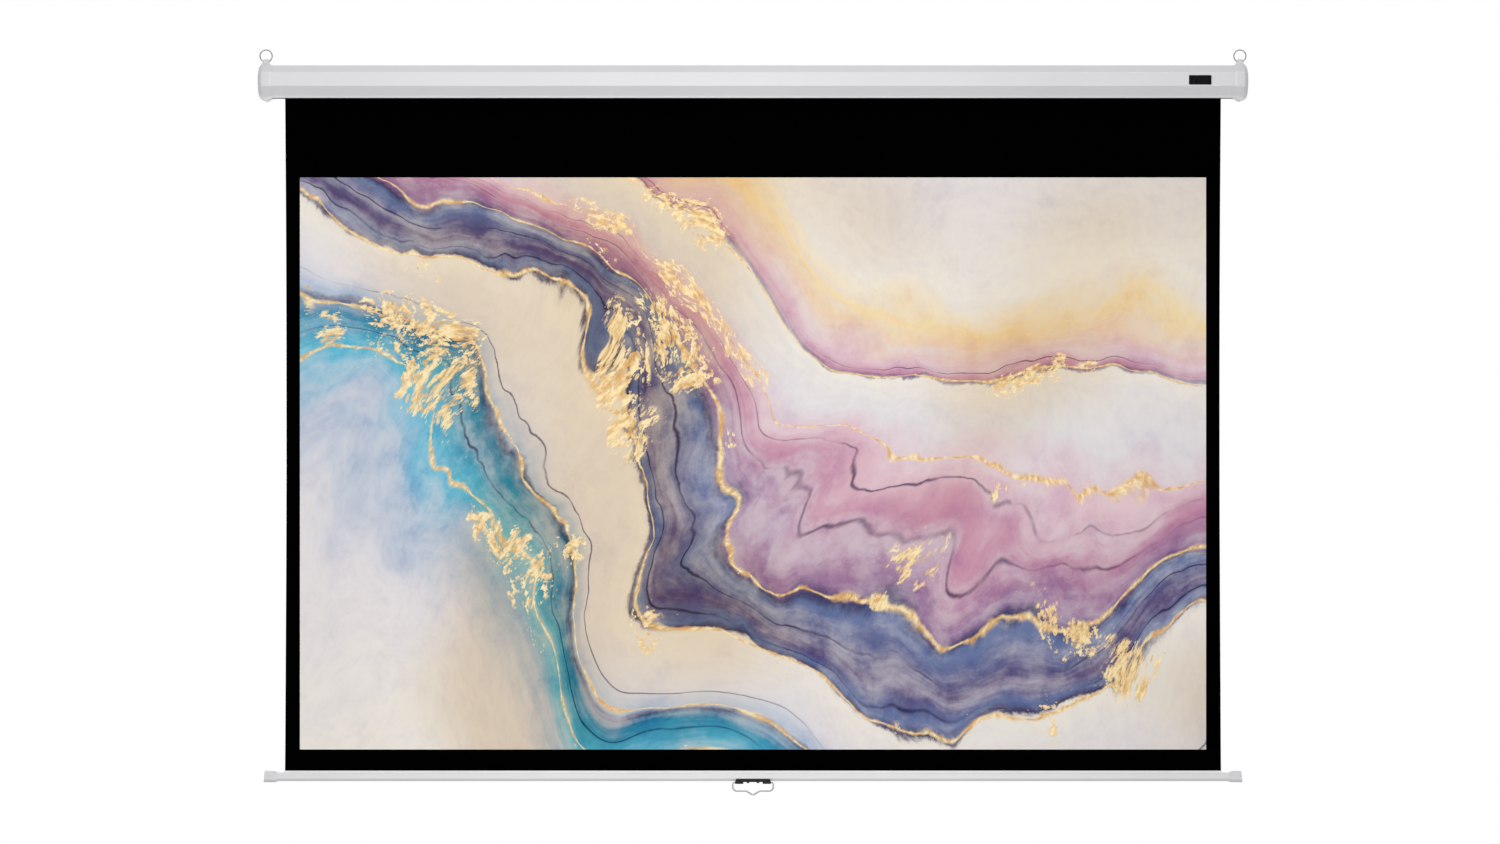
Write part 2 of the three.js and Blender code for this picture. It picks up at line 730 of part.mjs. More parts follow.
// Roller, from the tube's ends at plus and minus tubeHalf.
const tubeHalf = fabricHalf + TUBE_MARGIN;
const plugRadius = TUBE_RADIUS - TUBE_WALL - CLEARANCE;
const plugInner = tubeHalf - PLUG_DEPTH;
const plugFace = tubeHalf + CLEARANCE + PLUG_FLANGE;
const rivetX = tubeHalf - PLUG_RIVET_INSET;

function plugRivetHole() {
  const radius = PLUG_RIVET_RADIUS + CLEARANCE;
  const foot = axisZ + plugRadius - PLUG_RIVET_DEPTH - CLEARANCE;
  return rodZ(radius, foot, axisZ + TUBE_RADIUS + OVERRUN, rivetX, axisY);
}

function plugRivet() {
  const seat = axisZ + TUBE_RADIUS + ADHESIVE;
  return turnedZ(
    [
      [0, axisZ + plugRadius - PLUG_RIVET_DEPTH],
      [PLUG_RIVET_RADIUS, axisZ + plugRadius - PLUG_RIVET_DEPTH],
      [PLUG_RIVET_RADIUS, seat],
      [PLUG_RIVET_HEAD_RADIUS, seat],
      [PLUG_RIVET_HEAD_RADIUS / 2, seat + PLUG_RIVET_HEAD_HEIGHT],
      [0, seat + PLUG_RIVET_HEAD_HEIGHT],
    ],
    rivetX,
    axisY,
  );
}

function rollerTube() {
  const tube = pipeX(TUBE_RADIUS - TUBE_WALL, TUBE_RADIUS, -tubeHalf, tubeHalf, axisY, axisZ);
  const hole = plugRivetHole();
  const other = hole.clone().translate(-2 * rivetX, 0, 0);
  return cut(tube, hole, other);
}

// Both plugs are drawn for the right-hand end. The left-hand one is mirrored.
function plugBody(boreRadius, nose) {
  return turnedX(
    [
      [boreRadius, plugInner],
      [plugRadius, plugInner],
      [plugRadius, tubeHalf + CLEARANCE],
      [TUBE_RADIUS, tubeHalf + CLEARANCE],
      [TUBE_RADIUS, plugFace],
      ...nose,
    ],
    axisY,
    axisZ,
    ROUND,
    true,
  );
}

const bushFlangeInner = plateInner - CLEARANCE - BUSH_FLANGE;
const bushBore = IDLER_PIN_RADIUS + CLEARANCE;

function idlerPlug() {
  const hubEnd = bushFlangeInner - CLEARANCE;
  const bore = IDLER_PIN_RADIUS + CLEARANCE / 2;
  const body = plugBody(bore, [
    [IDLER_HUB_RADIUS, plugFace],
    [IDLER_HUB_RADIUS, hubEnd],
    [bore, hubEnd],
  ]);
  return cut(body, plugRivetHole());
}

function idlerPin() {
  return rodX(
    IDLER_PIN_RADIUS,
    plugFace - IDLER_PIN_GRIP,
    shellHalf + IDLER_PIN_EXTENSION,
    axisY,
    axisZ,
  );
}

function idlerBush() {
  const outer = bushBore + BUSH_WALL;
  return turnedX(
    [
      [bushBore, bushFlangeInner],
      [BUSH_FLANGE_RADIUS, bushFlangeInner],
      [BUSH_FLANGE_RADIUS, plateInner - CLEARANCE],
      [outer, plateInner - CLEARANCE],
      [outer, shellHalf],
      [bushBore, shellHalf],
    ],
    axisY,
    axisZ,
    SMALL_ROUND,
    true,
  );
}

function idlerOpening() {
  return rodX(bushBore + BUSH_WALL + CLEARANCE, plateInner - OVERRUN, shellHalf + OVERRUN, axisY, axisZ);
}

// Spring and lock, drawn as if at the right-hand end and mirrored to the left.
const lockBushOuter = SPINDLE_RADIUS + CLEARANCE + LOCK_BUSH_WALL;
const springFlatRadius = SPRING_INNER_RADIUS * Math.cos(Math.PI / CURL_STEPS);
const mandrelRadius = springFlatRadius - CLEARANCE;
const springOuter = plugInner - CLEARANCE;
const springInner = springOuter - SPRING_LENGTH;
const anchorFace = springInner - CLEARANCE;
const pawlPivotRadius = plugRadius - PAWL_PIVOT_INSET;
const ratchetInner = plugFace + CLEARANCE;
const ratchetOuter = ratchetInner + RATCHET_THICKNESS;
const clipOuter = ratchetOuter + CLEARANCE + CLIP_THICKNESS;

function lockPlug() {
  const bore = lockBushOuter + CLEARANCE;
  const body = turnedX(
    [
      [bore, plugInner - MANDREL_LENGTH],
      [mandrelRadius, plugInner - MANDREL_LENGTH],
      [mandrelRadius, plugInner],
      [plugRadius, plugInner],
      [plugRadius, tubeHalf + CLEARANCE],
      [TUBE_RADIUS, tubeHalf + CLEARANCE],
      [TUBE_RADIUS, plugFace],
      [bore, plugFace],
    ],
    axisY,
    axisZ,
    ROUND,
    true,
  );
  const pinHoles = [0, 1].map((side) => {
    const p = pawlPivot(side);
    return rodX(PAWL_PIN_RADIUS + CLEARANCE, plugFace - PAWL_THICKNESS, plugFace + OVERRUN, p.x, p.y);
  });
  return cut(body, plugRivetHole(), ...pinHoles);
}

function lockBush() {
  return pipeX(
    SPINDLE_RADIUS + CLEARANCE,
    lockBushOuter,
    plugInner - MANDREL_LENGTH,
    plugFace,
    axisY,
    axisZ,
    SMALL_ROUND,
  );
}

// The fixed rod: round inside the tube, with a flat tang that the left end plate grips.
function spindle() {
  const inner = anchorFace - ANCHOR_FLANGE - GUIDE_LENGTH - 2 * CLEARANCE;
  const outer = shellHalf + TANG_EXTENSION;
  const rod = rodX(SPINDLE_RADIUS, inner, outer, axisY, axisZ);
  const flats = [-1, 1].map((side) => {
    const near = axisY + (side * TANG_THICKNESS) / 2;
    const far = axisY + side * (SPINDLE_RADIUS + OVERRUN);
    return box(
      clipOuter,
      outer + OVERRUN,
      Math.min(near, far),
      Math.max(near, far),
      axisZ - SPINDLE_RADIUS - OVERRUN,
      axisZ + SPINDLE_RADIUS + OVERRUN,
    );
  });
  return cut(rod, ...flats);
}

function tangOpening() {
  return box(
    plateInner - OVERRUN,
    shellHalf + OVERRUN,
    axisY - TANG_THICKNESS / 2 - CLEARANCE,
    axisY + TANG_THICKNESS / 2 + CLEARANCE,
    axisZ - SPINDLE_RADIUS - CLEARANCE,
    axisZ + SPINDLE_RADIUS + CLEARANCE,
  );
}

function rodAnchor() {
  const bore = SPINDLE_RADIUS + CLEARANCE;
  const flangeRadius = SPRING_INNER_RADIUS + 2 * SPRING_WIRE_RADIUS;
  return turnedX(
    [
      [bore, anchorFace - ANCHOR_FLANGE],
      [flangeRadius, anchorFace - ANCHOR_FLANGE],
      [flangeRadius, anchorFace],
      [mandrelRadius, anchorFace],
      [mandrelRadius, anchorFace + MANDREL_LENGTH],
      [bore, anchorFace + MANDREL_LENGTH],
    ],
    axisY,
    axisZ,
    SMALL_ROUND,
    true,
  );
}

function rodGuide() {
  const outer = anchorFace - ANCHOR_FLANGE - CLEARANCE;
  return pipeX(SPINDLE_RADIUS + CLEARANCE, plugRadius, outer - GUIDE_LENGTH, outer, axisY, axisZ);
}

// The least distance between the wire's surfaces, from points of its centre line a turn apart.
function leastGap(centres) {
  let least = Infinity;
  for (let i = 0; i + CURL_STEPS < centres.length; i++) {
    const apart = centres[i].distanceTo(centres[i + CURL_STEPS]);
    least = Math.min(least, apart - 2 * SPRING_WIRE_RADIUS);
  }
  return least;
}

// One unbroken wire: close coils at both ends over the mandrels, open coils between.
function torsionSpring() {
  const meanRadius = SPRING_INNER_RADIUS + SPRING_WIRE_RADIUS;
  const closePitch = 2 * SPRING_WIRE_RADIUS + SPRING_CLOSE_GAP;
  const wireSpan = SPRING_LENGTH - 2 * SPRING_WIRE_RADIUS;
  const openCoils = SPRING_COILS - 2 * SPRING_END_COILS;
  const openPitch = (wireSpan - 2 * SPRING_END_COILS * closePitch) / openCoils;
  const centres = [];
  const rings = [];
  for (let k = 0; k <= SPRING_COILS * CURL_STEPS; k++) {
    const turns = k / CURL_STEPS;
    const open = THREE.MathUtils.clamp(turns - SPRING_END_COILS, 0, openCoils);
    const x = springInner + SPRING_WIRE_RADIUS + open * openPitch + (turns - open) * closePitch;
    const outward = new THREE.Vector3(0, Math.cos(2 * Math.PI * turns), Math.sin(2 * Math.PI * turns));
    const centre = new THREE.Vector3(x, axisY, axisZ).addScaledVector(outward, meanRadius);
    centres.push(centre);
    rings.push(
      Array.from({ length: CURL_SIDES }, (_, i) => {
        const around = (-2 * Math.PI * i) / CURL_SIDES;
        const along = new THREE.Vector3(SPRING_WIRE_RADIUS * Math.sin(around), 0, 0);
        return centre.clone().addScaledVector(outward, SPRING_WIRE_RADIUS * Math.cos(around)).add(along);
      }),
    );
  }
  console.log(`least gap between the spring's turns: ${leastGap(centres).toFixed(2)} mm`);
  return wireFrom(rings);
}

// A point given along and across the ratchet's notch, for the notch above (0) or below (1) the axis.
function fromNotch(along, across, side) {
  const sign = side ? -1 : 1;
  return point(axisY - sign * across, axisZ + sign * along);
}

function pawlPivot(side) {
  const angle = THREE.MathUtils.degToRad(PAWL_PIVOT_ANGLE);
  return fromNotch(pawlPivotRadius * Math.cos(angle), -pawlPivotRadius * Math.sin(angle), side);
}

// Two ramped notches, one above and one below the axis, stop the pawls in one direction only.
function ratchetWheel() {
  const wheel = pipeX(
    SPINDLE_RADIUS + CLEARANCE,
    RATCHET_RADIUS,
    ratchetInner,
    ratchetOuter,
    axisY,
    axisZ,
    ROUND,
  );
  const floor = RATCHET_RADIUS - NOTCH_DEPTH;
  const notches = [0, 1].map((side) => {
    const outline = [
      fromNotch(floor, NOTCH_HALF_WIDTH, side),
      fromNotch(floor, -NOTCH_HALF_WIDTH, side),
      fromNotch(RATCHET_RADIUS + CLEARANCE, -NOTCH_HALF_WIDTH - NOTCH_RAMP, side),
      fromNotch(RATCHET_RADIUS + CLEARANCE, NOTCH_HALF_WIDTH, side),
    ].reverse();
    return alongX(outline, ratchetInner - OVERRUN, ratchetOuter + OVERRUN);
  });
  return cut(wheel, ...notches);
}

// A hooked pawl, drawn with its nose in the notch, then swung clear about its pin.
function pawl(side) {
  const angle = THREE.MathUtils.degToRad(PAWL_PIVOT_ANGLE);
  const pivotAlong = pawlPivotRadius * Math.cos(angle);
  const pivotAcross = -pawlPivotRadius * Math.sin(angle);
  const tip = RATCHET_RADIUS - NOTCH_DEPTH + 2 * CLEARANCE;
  const underside = RATCHET_RADIUS + PAWL_OVER_RIM;
  const crown = underside + PAWL_HEAD_HEIGHT;
  const nose = PAWL_NOSE_HALF_WIDTH;
  const bossArc = [];
  const steps = 6;
  for (let k = 0; k <= steps; k++) {
    const around = Math.PI * (k / steps);
    bossArc.push(
      fromNotch(
        pivotAlong + PAWL_BOSS_RADIUS * Math.cos(around),
        pivotAcross - PAWL_BOSS_RADIUS * Math.sin(around),
        side,
      ),
    );
  }
  const outline = [
    fromNotch(tip, -nose * PAWL_TIP_SHARE, side),
    fromNotch(tip, nose * PAWL_TIP_SHARE, side),
    fromNotch(tip + nose / 3, nose, side),
    fromNotch(crown - nose / 2, nose, side),
    fromNotch(crown, nose / 3, side),
    ...bossArc,
    fromNotch(underside, -nose, side),
    fromNotch(tip + nose / 3, -nose, side),
  ];
  const hole = circle(pawlPivot(side).x, pawlPivot(side).y, PAWL_PIN_RADIUS + CLEARANCE, PIN_ROUND);
  const solid = alongX(
    THREE.ShapeUtils.isClockWise(outline) ? outline.reverse() : outline,
    ratchetInner,
    ratchetInner + PAWL_THICKNESS,
    [hole],
  );
  const pivot = pawlPivot(side);
  return solid
    .translate(0, -pivot.x, -pivot.y)
    .rotateX(-THREE.MathUtils.degToRad(PAWL_SWING))
    .translate(0, pivot.x, pivot.y);
}

function pawlPin(side) {
  const pivot = pawlPivot(side);
  const seat = ratchetInner + PAWL_THICKNESS + CLEARANCE;
  return turnedX(
    [
      [0, plugFace - PAWL_THICKNESS + CLEARANCE],
      [PAWL_PIN_RADIUS, plugFace - PAWL_THICKNESS + CLEARANCE],
      [PAWL_PIN_RADIUS, seat],
      [PAWL_PIN_HEAD_RADIUS, seat],
      [PAWL_PIN_HEAD_RADIUS, seat + PAWL_PIN_HEAD],
      [0, seat + PAWL_PIN_HEAD],
    ],
    pivot.x,
    pivot.y,
    PIN_ROUND,
  );
}

// A snap ring behind the ratchet wheel, open at the bottom.
function spindleClip() {
  const inner = ratchetOuter + CLEARANCE;
  const ring = pipeX(SPINDLE_RADIUS + CLEARANCE, CLIP_RADIUS, inner, clipOuter, axisY, axisZ, SMALL_ROUND);
  const mouth = box(
    inner - OVERRUN,
    clipOuter + OVERRUN,
    axisY - SPINDLE_RADIUS / 2,
    axisY + SPINDLE_RADIUS / 2,
    axisZ - CLIP_RADIUS - OVERRUN,
    axisZ,
  );
  return cut(ring, mouth);
}

function woundFabric() {
  return pipeX(TUBE_RADIUS + CLEARANCE, woundRadius, -fabricHalf, fabricHalf, axisY, axisZ);
}

// Screen surface. The stretch that winds up is separate from the hem, which stays with the bar.
function windingSheet() {
  return box(-fabricHalf, fabricHalf, sheetFront, sheetBack, viewBottom + CLEARANCE, axisZ);
}

function topDropBorder() {
  return box(-fabricHalf, fabricHalf, maskFront, sheetFront, viewTop, axisZ);
}

function sideBorder() {
  return box(fabricHalf - SIDE_BORDER, fabricHalf, maskFront, sheetFront, viewBottom + CLEARANCE, viewTop);
}

const hemRodZ = clampTop - HEM_ROD_DEPTH;

function fabricHem() {
  const foot = hemRodZ + HEM_ROD_RADIUS + CLEARANCE;
  return box(-fabricHalf, fabricHalf, sheetFront, sheetBack, foot, viewBottom);
}

function bottomBorder() {
  return box(-fabricHalf, fabricHalf, maskFront, sheetFront, clampTop + CLEARANCE, viewBottom);
}

// The bar's outline, grown at its sides, top and bottom, with a round underside.
function barOutline(side, above, below) {
  const half = BAR_WIDTH / 2 + side;
  const top = barTop + above;
  const bottom = barBottom - below;
  const springing = barBottom + BAR_BOTTOM_ROUND;
  const steps = 10;
  const outline = [];
  for (let k = 0; k <= steps; k++) {
    const angle = Math.PI + (Math.PI * k) / steps;
    const height = springing + (springing - bottom) * Math.sin(angle);
    outline.push(point(sheetMiddle + half * Math.cos(angle), height));
  }
  const corner = BAR_TOP_RADIUS;
  for (const turn of [1, -1]) {
    for (let k = 0; k <= BEND_STEPS; k++) {
      const share = turn > 0 ? k / BEND_STEPS : 1 - k / BEND_STEPS;
      const angle = (Math.PI / 2) * share;
      outline.push(
        point(
          sheetMiddle + turn * (half - corner + corner * Math.cos(angle)),
          top - corner + corner * Math.sin(angle),
        ),
      );
    }
  }
  return outline;
}

const grooveHalf = CLAMP_WIDTH / 2 + CLEARANCE;
const ballastZ = barBottom + BALLAST_RAISE;
const bracketScrewTip = barBottom + BRACKET_SCREW_BITE;

function weightBar() {
  const cavity = circle(sheetMiddle, ballastZ, BALLAST_RADIUS + CLEARANCE);
  const bar = alongX(barOutline(0, 0, 0), -barHalf, barHalf, [cavity]);
  const groove = box(
    -barHalf - OVERRUN,
    barHalf + OVERRUN,
    sheetMiddle - grooveHalf,
    sheetMiddle + grooveHalf,
    barTop - GROOVE_DEPTH,
    barTop + OVERRUN,
  );
  const screwHoles = [-1, 1].map((side) =>
    rodZ(
      BRACKET_SCREW_RADIUS + CLEARANCE,
      barBottom - OVERRUN,
      bracketScrewTip + CLEARANCE,
      side * BRACKET_SCREW_SPREAD,
      sheetMiddle,
    ),
  );
  return cut(bar, groove, ...screwHoles);
}

function ballastRod() {
  const half = barHalf - BAR_CAP_PEG - CLEARANCE;
  return rodX(BALLAST_RADIUS, -half, half, sheetMiddle, ballastZ);
}

// A white strip that grips the hem in the bar's groove. Its ends slope out to the bar.
function hemClamp() {
  const foot = barTop - GROOVE_DEPTH + CLEARANCE;
  const halfWidth = CLAMP_WIDTH / 2;
  const slitHalf = FABRIC_THICKNESS / 2 + SLIT_ROOM;
  const channel = HEM_ROD_RADIUS + 2 * CLEARANCE;
  const long = fabricHalf + CLAMP_END + CLAMP_END_SLOPE;
  const strip = alongX(
    rectangle(sheetMiddle - halfWidth, sheetMiddle + halfWidth, foot, clampTop),
    -long,
    long,
  );
  const slit = box(
    -long - OVERRUN,
    long + OVERRUN,
    sheetMiddle - slitHalf,
    sheetMiddle + slitHalf,
    hemRodZ,
    clampTop + OVERRUN,
  );
  const rodChannel = rodX(channel, -long - OVERRUN, long + OVERRUN, sheetMiddle, hemRodZ);
  const short = fabricHalf + CLAMP_END;
  const ends = alongY(
    [
      point(-long, foot - OVERRUN),
      point(long, foot - OVERRUN),
      point(long, barTop),
      point(short, clampTop),
      point(short, clampTop + OVERRUN),
      point(-short, clampTop + OVERRUN),
      point(-short, clampTop),
      point(-long, barTop),
    ],
    sheetMiddle - CLAMP_WIDTH,
    sheetMiddle + CLAMP_WIDTH,
  );
  return common(cut(strip, slit, rodChannel), ends);
}

function hemRod() {
  const half = fabricHalf - HEM_ROD_INSET;
  return rodX(HEM_ROD_RADIUS, -half, half, sheetMiddle, hemRodZ, PIN_ROUND);
}

// A plastic shoe over the bar's end, swelling from a thin neck to a taller block with a slanted end.
function barCap() {
  const mouth = barHalf - BAR_CAP_SOCKET;
  const neckEnd = mouth + BAR_CAP_NECK;
  const end = barHalf + CLEARANCE + BAR_CAP_END;
  const thin = BAR_CAP_LIP_SHARE;
  const top = barTop + BAR_CAP_ABOVE;
  const height = BAR_HEIGHT + BAR_CAP_ABOVE + BAR_CAP_BELOW;
  const full = barOutline(BAR_CAP_SIDE, BAR_CAP_ABOVE, BAR_CAP_BELOW);
  const neck = barOutline(
    CLEARANCE + BAR_CAP_SIDE * thin,
    CLEARANCE + BAR_CAP_SIDE * thin,
    CLEARANCE + BAR_CAP_SIDE * thin,
  );
  const outside = loft([
    ringAt(mouth, neck),
    ringAt(neckEnd, full),
    ringAt((p) => end - BAR_CAP_SLANT + (BAR_CAP_SLANT * (top - p.y)) / height, full),
  ]);
  const socket = alongX(barOutline(CLEARANCE, CLEARANCE, CLEARANCE), mouth - OVERRUN, barHalf + CLEARANCE);
  const peg = rodX(
    BALLAST_RADIUS,
    barHalf - BAR_CAP_PEG,
    barHalf + BAR_CAP_END / 2,
    sheetMiddle,
    ballastZ,
  );
  return join(cut(outside, socket), peg);
}

// Pull handle
const saddleBottom = barBottom - CLEARANCE - BRACKET_WALL;
const bailAxisZ = barBottom - CLEARANCE - LOBE_WALL / 2 - CLEARANCE - BAIL_WIRE_RADIUS;
const lobeBottom = bailAxisZ - BAIL_WIRE_RADIUS - CLEARANCE - LOBE_WALL;
const bailInner = BRACKET_HALF_LENGTH - BAIL_GRIP;

function lobe(side) {
  const inner = side * (BRACKET_HALF_LENGTH - LOBE_LENGTH);
  const outer = side * BRACKET_HALF_LENGTH;
  const block = rectangle(
    sheetMiddle - LOBE_HALF_WIDTH,
    sheetMiddle + LOBE_HALF_WIDTH,
    lobeBottom,
    barBottom + BRACKET_FLANGE_RISE / 2,
  );
  return alongX(roundOutline(block, LOBE_WALL), Math.min(inner, outer), Math.max(inner, outer));
}

// A saddle under the bar with a lobe at each end, bored for the handle's wire.
function handleBracket() {
  const top = barBottom + BRACKET_FLANGE_RISE;
  const wall = CLEARANCE + BRACKET_WALL;
  const saddle = alongX(barOutline(wall, 0, wall), -BRACKET_HALF_LENGTH, BRACKET_HALF_LENGTH);
  const trim = alongY(
    [
      point(-BRACKET_HALF_LENGTH, lobeBottom - OVERRUN),
      point(BRACKET_HALF_LENGTH, lobeBottom - OVERRUN),
      point(BRACKET_HALF_LENGTH, barBottom),
      point(BRACKET_HALF_LENGTH - BRACKET_END_SLOPE, top),
      point(-BRACKET_HALF_LENGTH + BRACKET_END_SLOPE, top),
      point(-BRACKET_HALF_LENGTH, barBottom),
    ],
    sheetMiddle - BAR_WIDTH,
    sheetMiddle + BAR_WIDTH,
  );
  const whole = common(join(saddle, lobe(-1), lobe(1)), trim);
  const seat = alongX(
    barOutline(CLEARANCE, OVERRUN, CLEARANCE),
    -BRACKET_HALF_LENGTH - OVERRUN,
    BRACKET_HALF_LENGTH + OVERRUN,
  );
  const bailBores = [-1, 1].map((side) => {
    const inner = side * (bailInner - CLEARANCE);
    const outer = side * (BRACKET_HALF_LENGTH + OVERRUN);
    return rodX(
      BAIL_WIRE_RADIUS + CLEARANCE,
      Math.min(inner, outer),
      Math.max(inner, outer),
      sheetMiddle,
      bailAxisZ,
    );
  });
  const screwBores = [-1, 1].map((side) =>
    rodZ(
      BRACKET_SCREW_RADIUS + CLEARANCE,
      lobeBottom - OVERRUN,
      barBottom,
      side * BRACKET_SCREW_SPREAD,
      sheetMiddle,
    ),
  );
  return cut(whole, seat, ...bailBores, ...screwBores);
}

// Bracket screws point up, so the screw drawn along X is turned with its head down.
function bracketScrew(side) {
  const seat = saddleBottom - ADHESIVE;
  const length = bracketScrewTip - seat;
  return crossScrew(BRACKET_SCREW_RADIUS, 0, length, 0, 0)
    .rotateY(Math.PI / 2)
    .translate(side * BRACKET_SCREW_SPREAD, sheetMiddle, bracketScrewTip);
}

// The handle's wire, bent in one plane: in through the lobes, round the ends, and down to a central dip.
function handleBail() {
  const run = bailAxisZ - BAIL_DROP;
  const half = [
    point(bailInner, bailAxisZ),
    point(BAIL_HALF_WIDTH, bailAxisZ),
    point(BAIL_HALF_WIDTH, run),
    point(BAIL_DIP_HALF_WIDTH, run),
  ];
  const bends = [0, BAIL_UPPER_BEND, BAIL_LOWER_BEND, BAIL_SHOULDER_BEND, BAIL_DIP_BEND];
  const line = [...half, point(0, run - BAIL_DIP), ...half.map((p) => point(-p.x, p.y)).reverse()];
  const middle = half.length;
  const bent = roundOutline(line, (i) => bends[middle - Math.abs(i - middle)], BEND_STEPS + 1, false);
  const path = bent.map((p) => new THREE.Vector3(p.x, sheetMiddle, p.y));
  const rings = path.map((p, i) => {
    const before = path[Math.max(i - 1, 0)];
    const after = path[Math.min(i + 1, path.length - 1)];
    const back = p.clone().sub(before).normalize();
    const ahead = after.clone().sub(p).normalize();
    const direction = back.clone().add(ahead).normalize();
    const stretch = 1 / Math.max(direction.dot(i ? back : ahead), LEAST_MITRE_SHARE);
    const across = new THREE.Vector3(direction.z, 0, -direction.x);
    return Array.from({ length: WIRE_SIDES }, (_, k) => {
      const angle = (2 * Math.PI * k) / WIRE_SIDES;
      return p
        .clone()
        .addScaledVector(across, BAIL_WIRE_RADIUS * stretch * Math.cos(angle))
        .add(new THREE.Vector3(0, BAIL_WIRE_RADIUS * Math.sin(angle), 0));
    });
  });
  return wireFrom(rings);
}

// Case and what is fixed to it
add("case_shell", caseShell(), whiteSteel);
addPair("end_cap", endCap(), whitePlastic);
add("right_end_plate", endPlate(idlerOpening()), bareSteel);
add("left_end_plate", endPlate(tangOpening()), bareSteel).scale.x = -1;
const [upperScrew, lowerScrew] = capScrewPlaces().map((p) =>
  crossScrew(
    CAP_SCREW_RADIUS,
    plateInner - CAP_SCREW_TIP,
    capEnd - COUNTERBORE_DEPTH + CLEARANCE / 2,
    p.x,
    p.y,
  ),
);
addPair("cap_screw_upper", upperScrew, bareSteel);
addPair("cap_screw_lower", lowerScrew, bareSteel);
const [rearRivet, frontRivet] = rivetPlaces().map(plateRivet);
addPair("plate_rivet_rear", rearRivet, bareSteel);
addPair("plate_rivet_front", frontRivet, bareSteel);
add("name_badge", nameBadge(), blackPlastic);
addPair("hanging_ring", hangingRing(), chromeWire);

// Roller
add("roller_tube", rollerTube(), bareSteel);
add("idler_plug", idlerPlug(), nylon);
add("idler_pin", idlerPin(), bareSteel);
add("idler_bush", idlerBush(), nylon);
addPair("plug_rivet", plugRivet(), bareSteel);
add("wound_fabric", woundFabric(), maskBlack);

// Spring and lock
const lockEnd = new THREE.Group();
lockEnd.scale.x = -1;
model.add(lockEnd);
add("lock_plug", lockPlug(), blackPlastic, lockEnd);
add("lock_bush", lockBush(), nylon, lockEnd);
add("spindle", spindle(), bareSteel, lockEnd);
add("rod_anchor", rodAnchor(), nylon, lockEnd);
add("rod_guide", rodGuide(), nylon, lockEnd);
add("torsion_spring", torsionSpring(), springSteel, lockEnd);
add("ratchet_wheel", ratchetWheel(), bareSteel, lockEnd);
add("spindle_clip", spindleClip(), springSteel, lockEnd);
for (const side of [0, 1]) {
  add(`pawl_${side + 1}`, pawl(side), bareSteel, lockEnd);
  add(`pawl_pin_${side + 1}`, pawlPin(side), bareSteel, lockEnd);
}

// Screen surface
add("screen_fabric", windingSheet(), screenWhite);
add("top_drop_border", topDropBorder(), maskBlack);
addPair("side_border", sideBorder(), maskBlack);
add("fabric_hem", fabricHem(), screenWhite);
add("bottom_border", bottomBorder(), maskBlack);

// Weight bar and handle
add("weight_bar", weightBar(), whiteSteel);
add("ballast_rod", ballastRod(), bareSteel);
add("hem_clamp", hemClamp(), whitePlastic);
add("hem_rod", hemRod(), nylon);
addPair("bar_cap", barCap(), whitePlastic);
add("handle_bracket", handleBracket(), blackPlastic);
add("left_bracket_screw", bracketScrew(-1), blackSteel);
add("right_bracket_screw", bracketScrew(1), blackSteel);
add("handle_bail", handleBail(), chromeWire);

export default model;
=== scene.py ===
"""Dresses a pull-down projection screen: a white roll-formed case with moulded end caps and hanging rings,
a matt screen with black borders that hangs from the spring roller, and a weighted bar with a pull handle."""

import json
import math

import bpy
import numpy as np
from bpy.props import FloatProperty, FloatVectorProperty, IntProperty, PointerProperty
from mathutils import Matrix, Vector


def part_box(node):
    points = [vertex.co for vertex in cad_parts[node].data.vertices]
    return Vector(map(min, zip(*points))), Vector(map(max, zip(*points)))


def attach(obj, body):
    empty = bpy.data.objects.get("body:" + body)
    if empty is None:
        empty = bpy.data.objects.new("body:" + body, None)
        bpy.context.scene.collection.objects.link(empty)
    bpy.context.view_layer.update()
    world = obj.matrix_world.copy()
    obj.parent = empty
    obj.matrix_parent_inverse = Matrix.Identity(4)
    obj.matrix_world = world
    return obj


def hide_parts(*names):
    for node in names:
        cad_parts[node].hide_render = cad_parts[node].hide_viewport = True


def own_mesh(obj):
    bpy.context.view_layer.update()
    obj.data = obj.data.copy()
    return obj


bl_info = {
    "name": "Pull-down projection screen",
    "version": (1, 0, 0),
    "blender": (4, 5, 0),
    "location": "View3D > Sidebar > Screen",
    "description": "Builds the surfaces and finishes of a manual pull-down projection screen",
    "category": "Object",
}

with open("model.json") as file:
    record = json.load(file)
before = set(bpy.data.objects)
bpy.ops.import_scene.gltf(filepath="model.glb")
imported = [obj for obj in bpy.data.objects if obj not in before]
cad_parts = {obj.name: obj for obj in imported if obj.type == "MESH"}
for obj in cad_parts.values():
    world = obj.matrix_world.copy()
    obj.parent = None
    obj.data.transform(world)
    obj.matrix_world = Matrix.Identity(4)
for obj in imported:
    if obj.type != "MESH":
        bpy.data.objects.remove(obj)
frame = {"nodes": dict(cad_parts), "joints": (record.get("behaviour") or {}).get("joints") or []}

MM = 0.001


# Places that the frame gives

def low(node):
    return np.array(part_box(node)[0])


def high(node):
    return np.array(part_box(node)[1])


def centre_of(node):
    """The middle of a node's box."""
    return (low(node) + high(node)) / 2


def pivot(joint):
    """The point on a joint's axis."""
    return np.array(next(j["pos_m"] for j in frame["joints"] if j["name"] == joint), float)


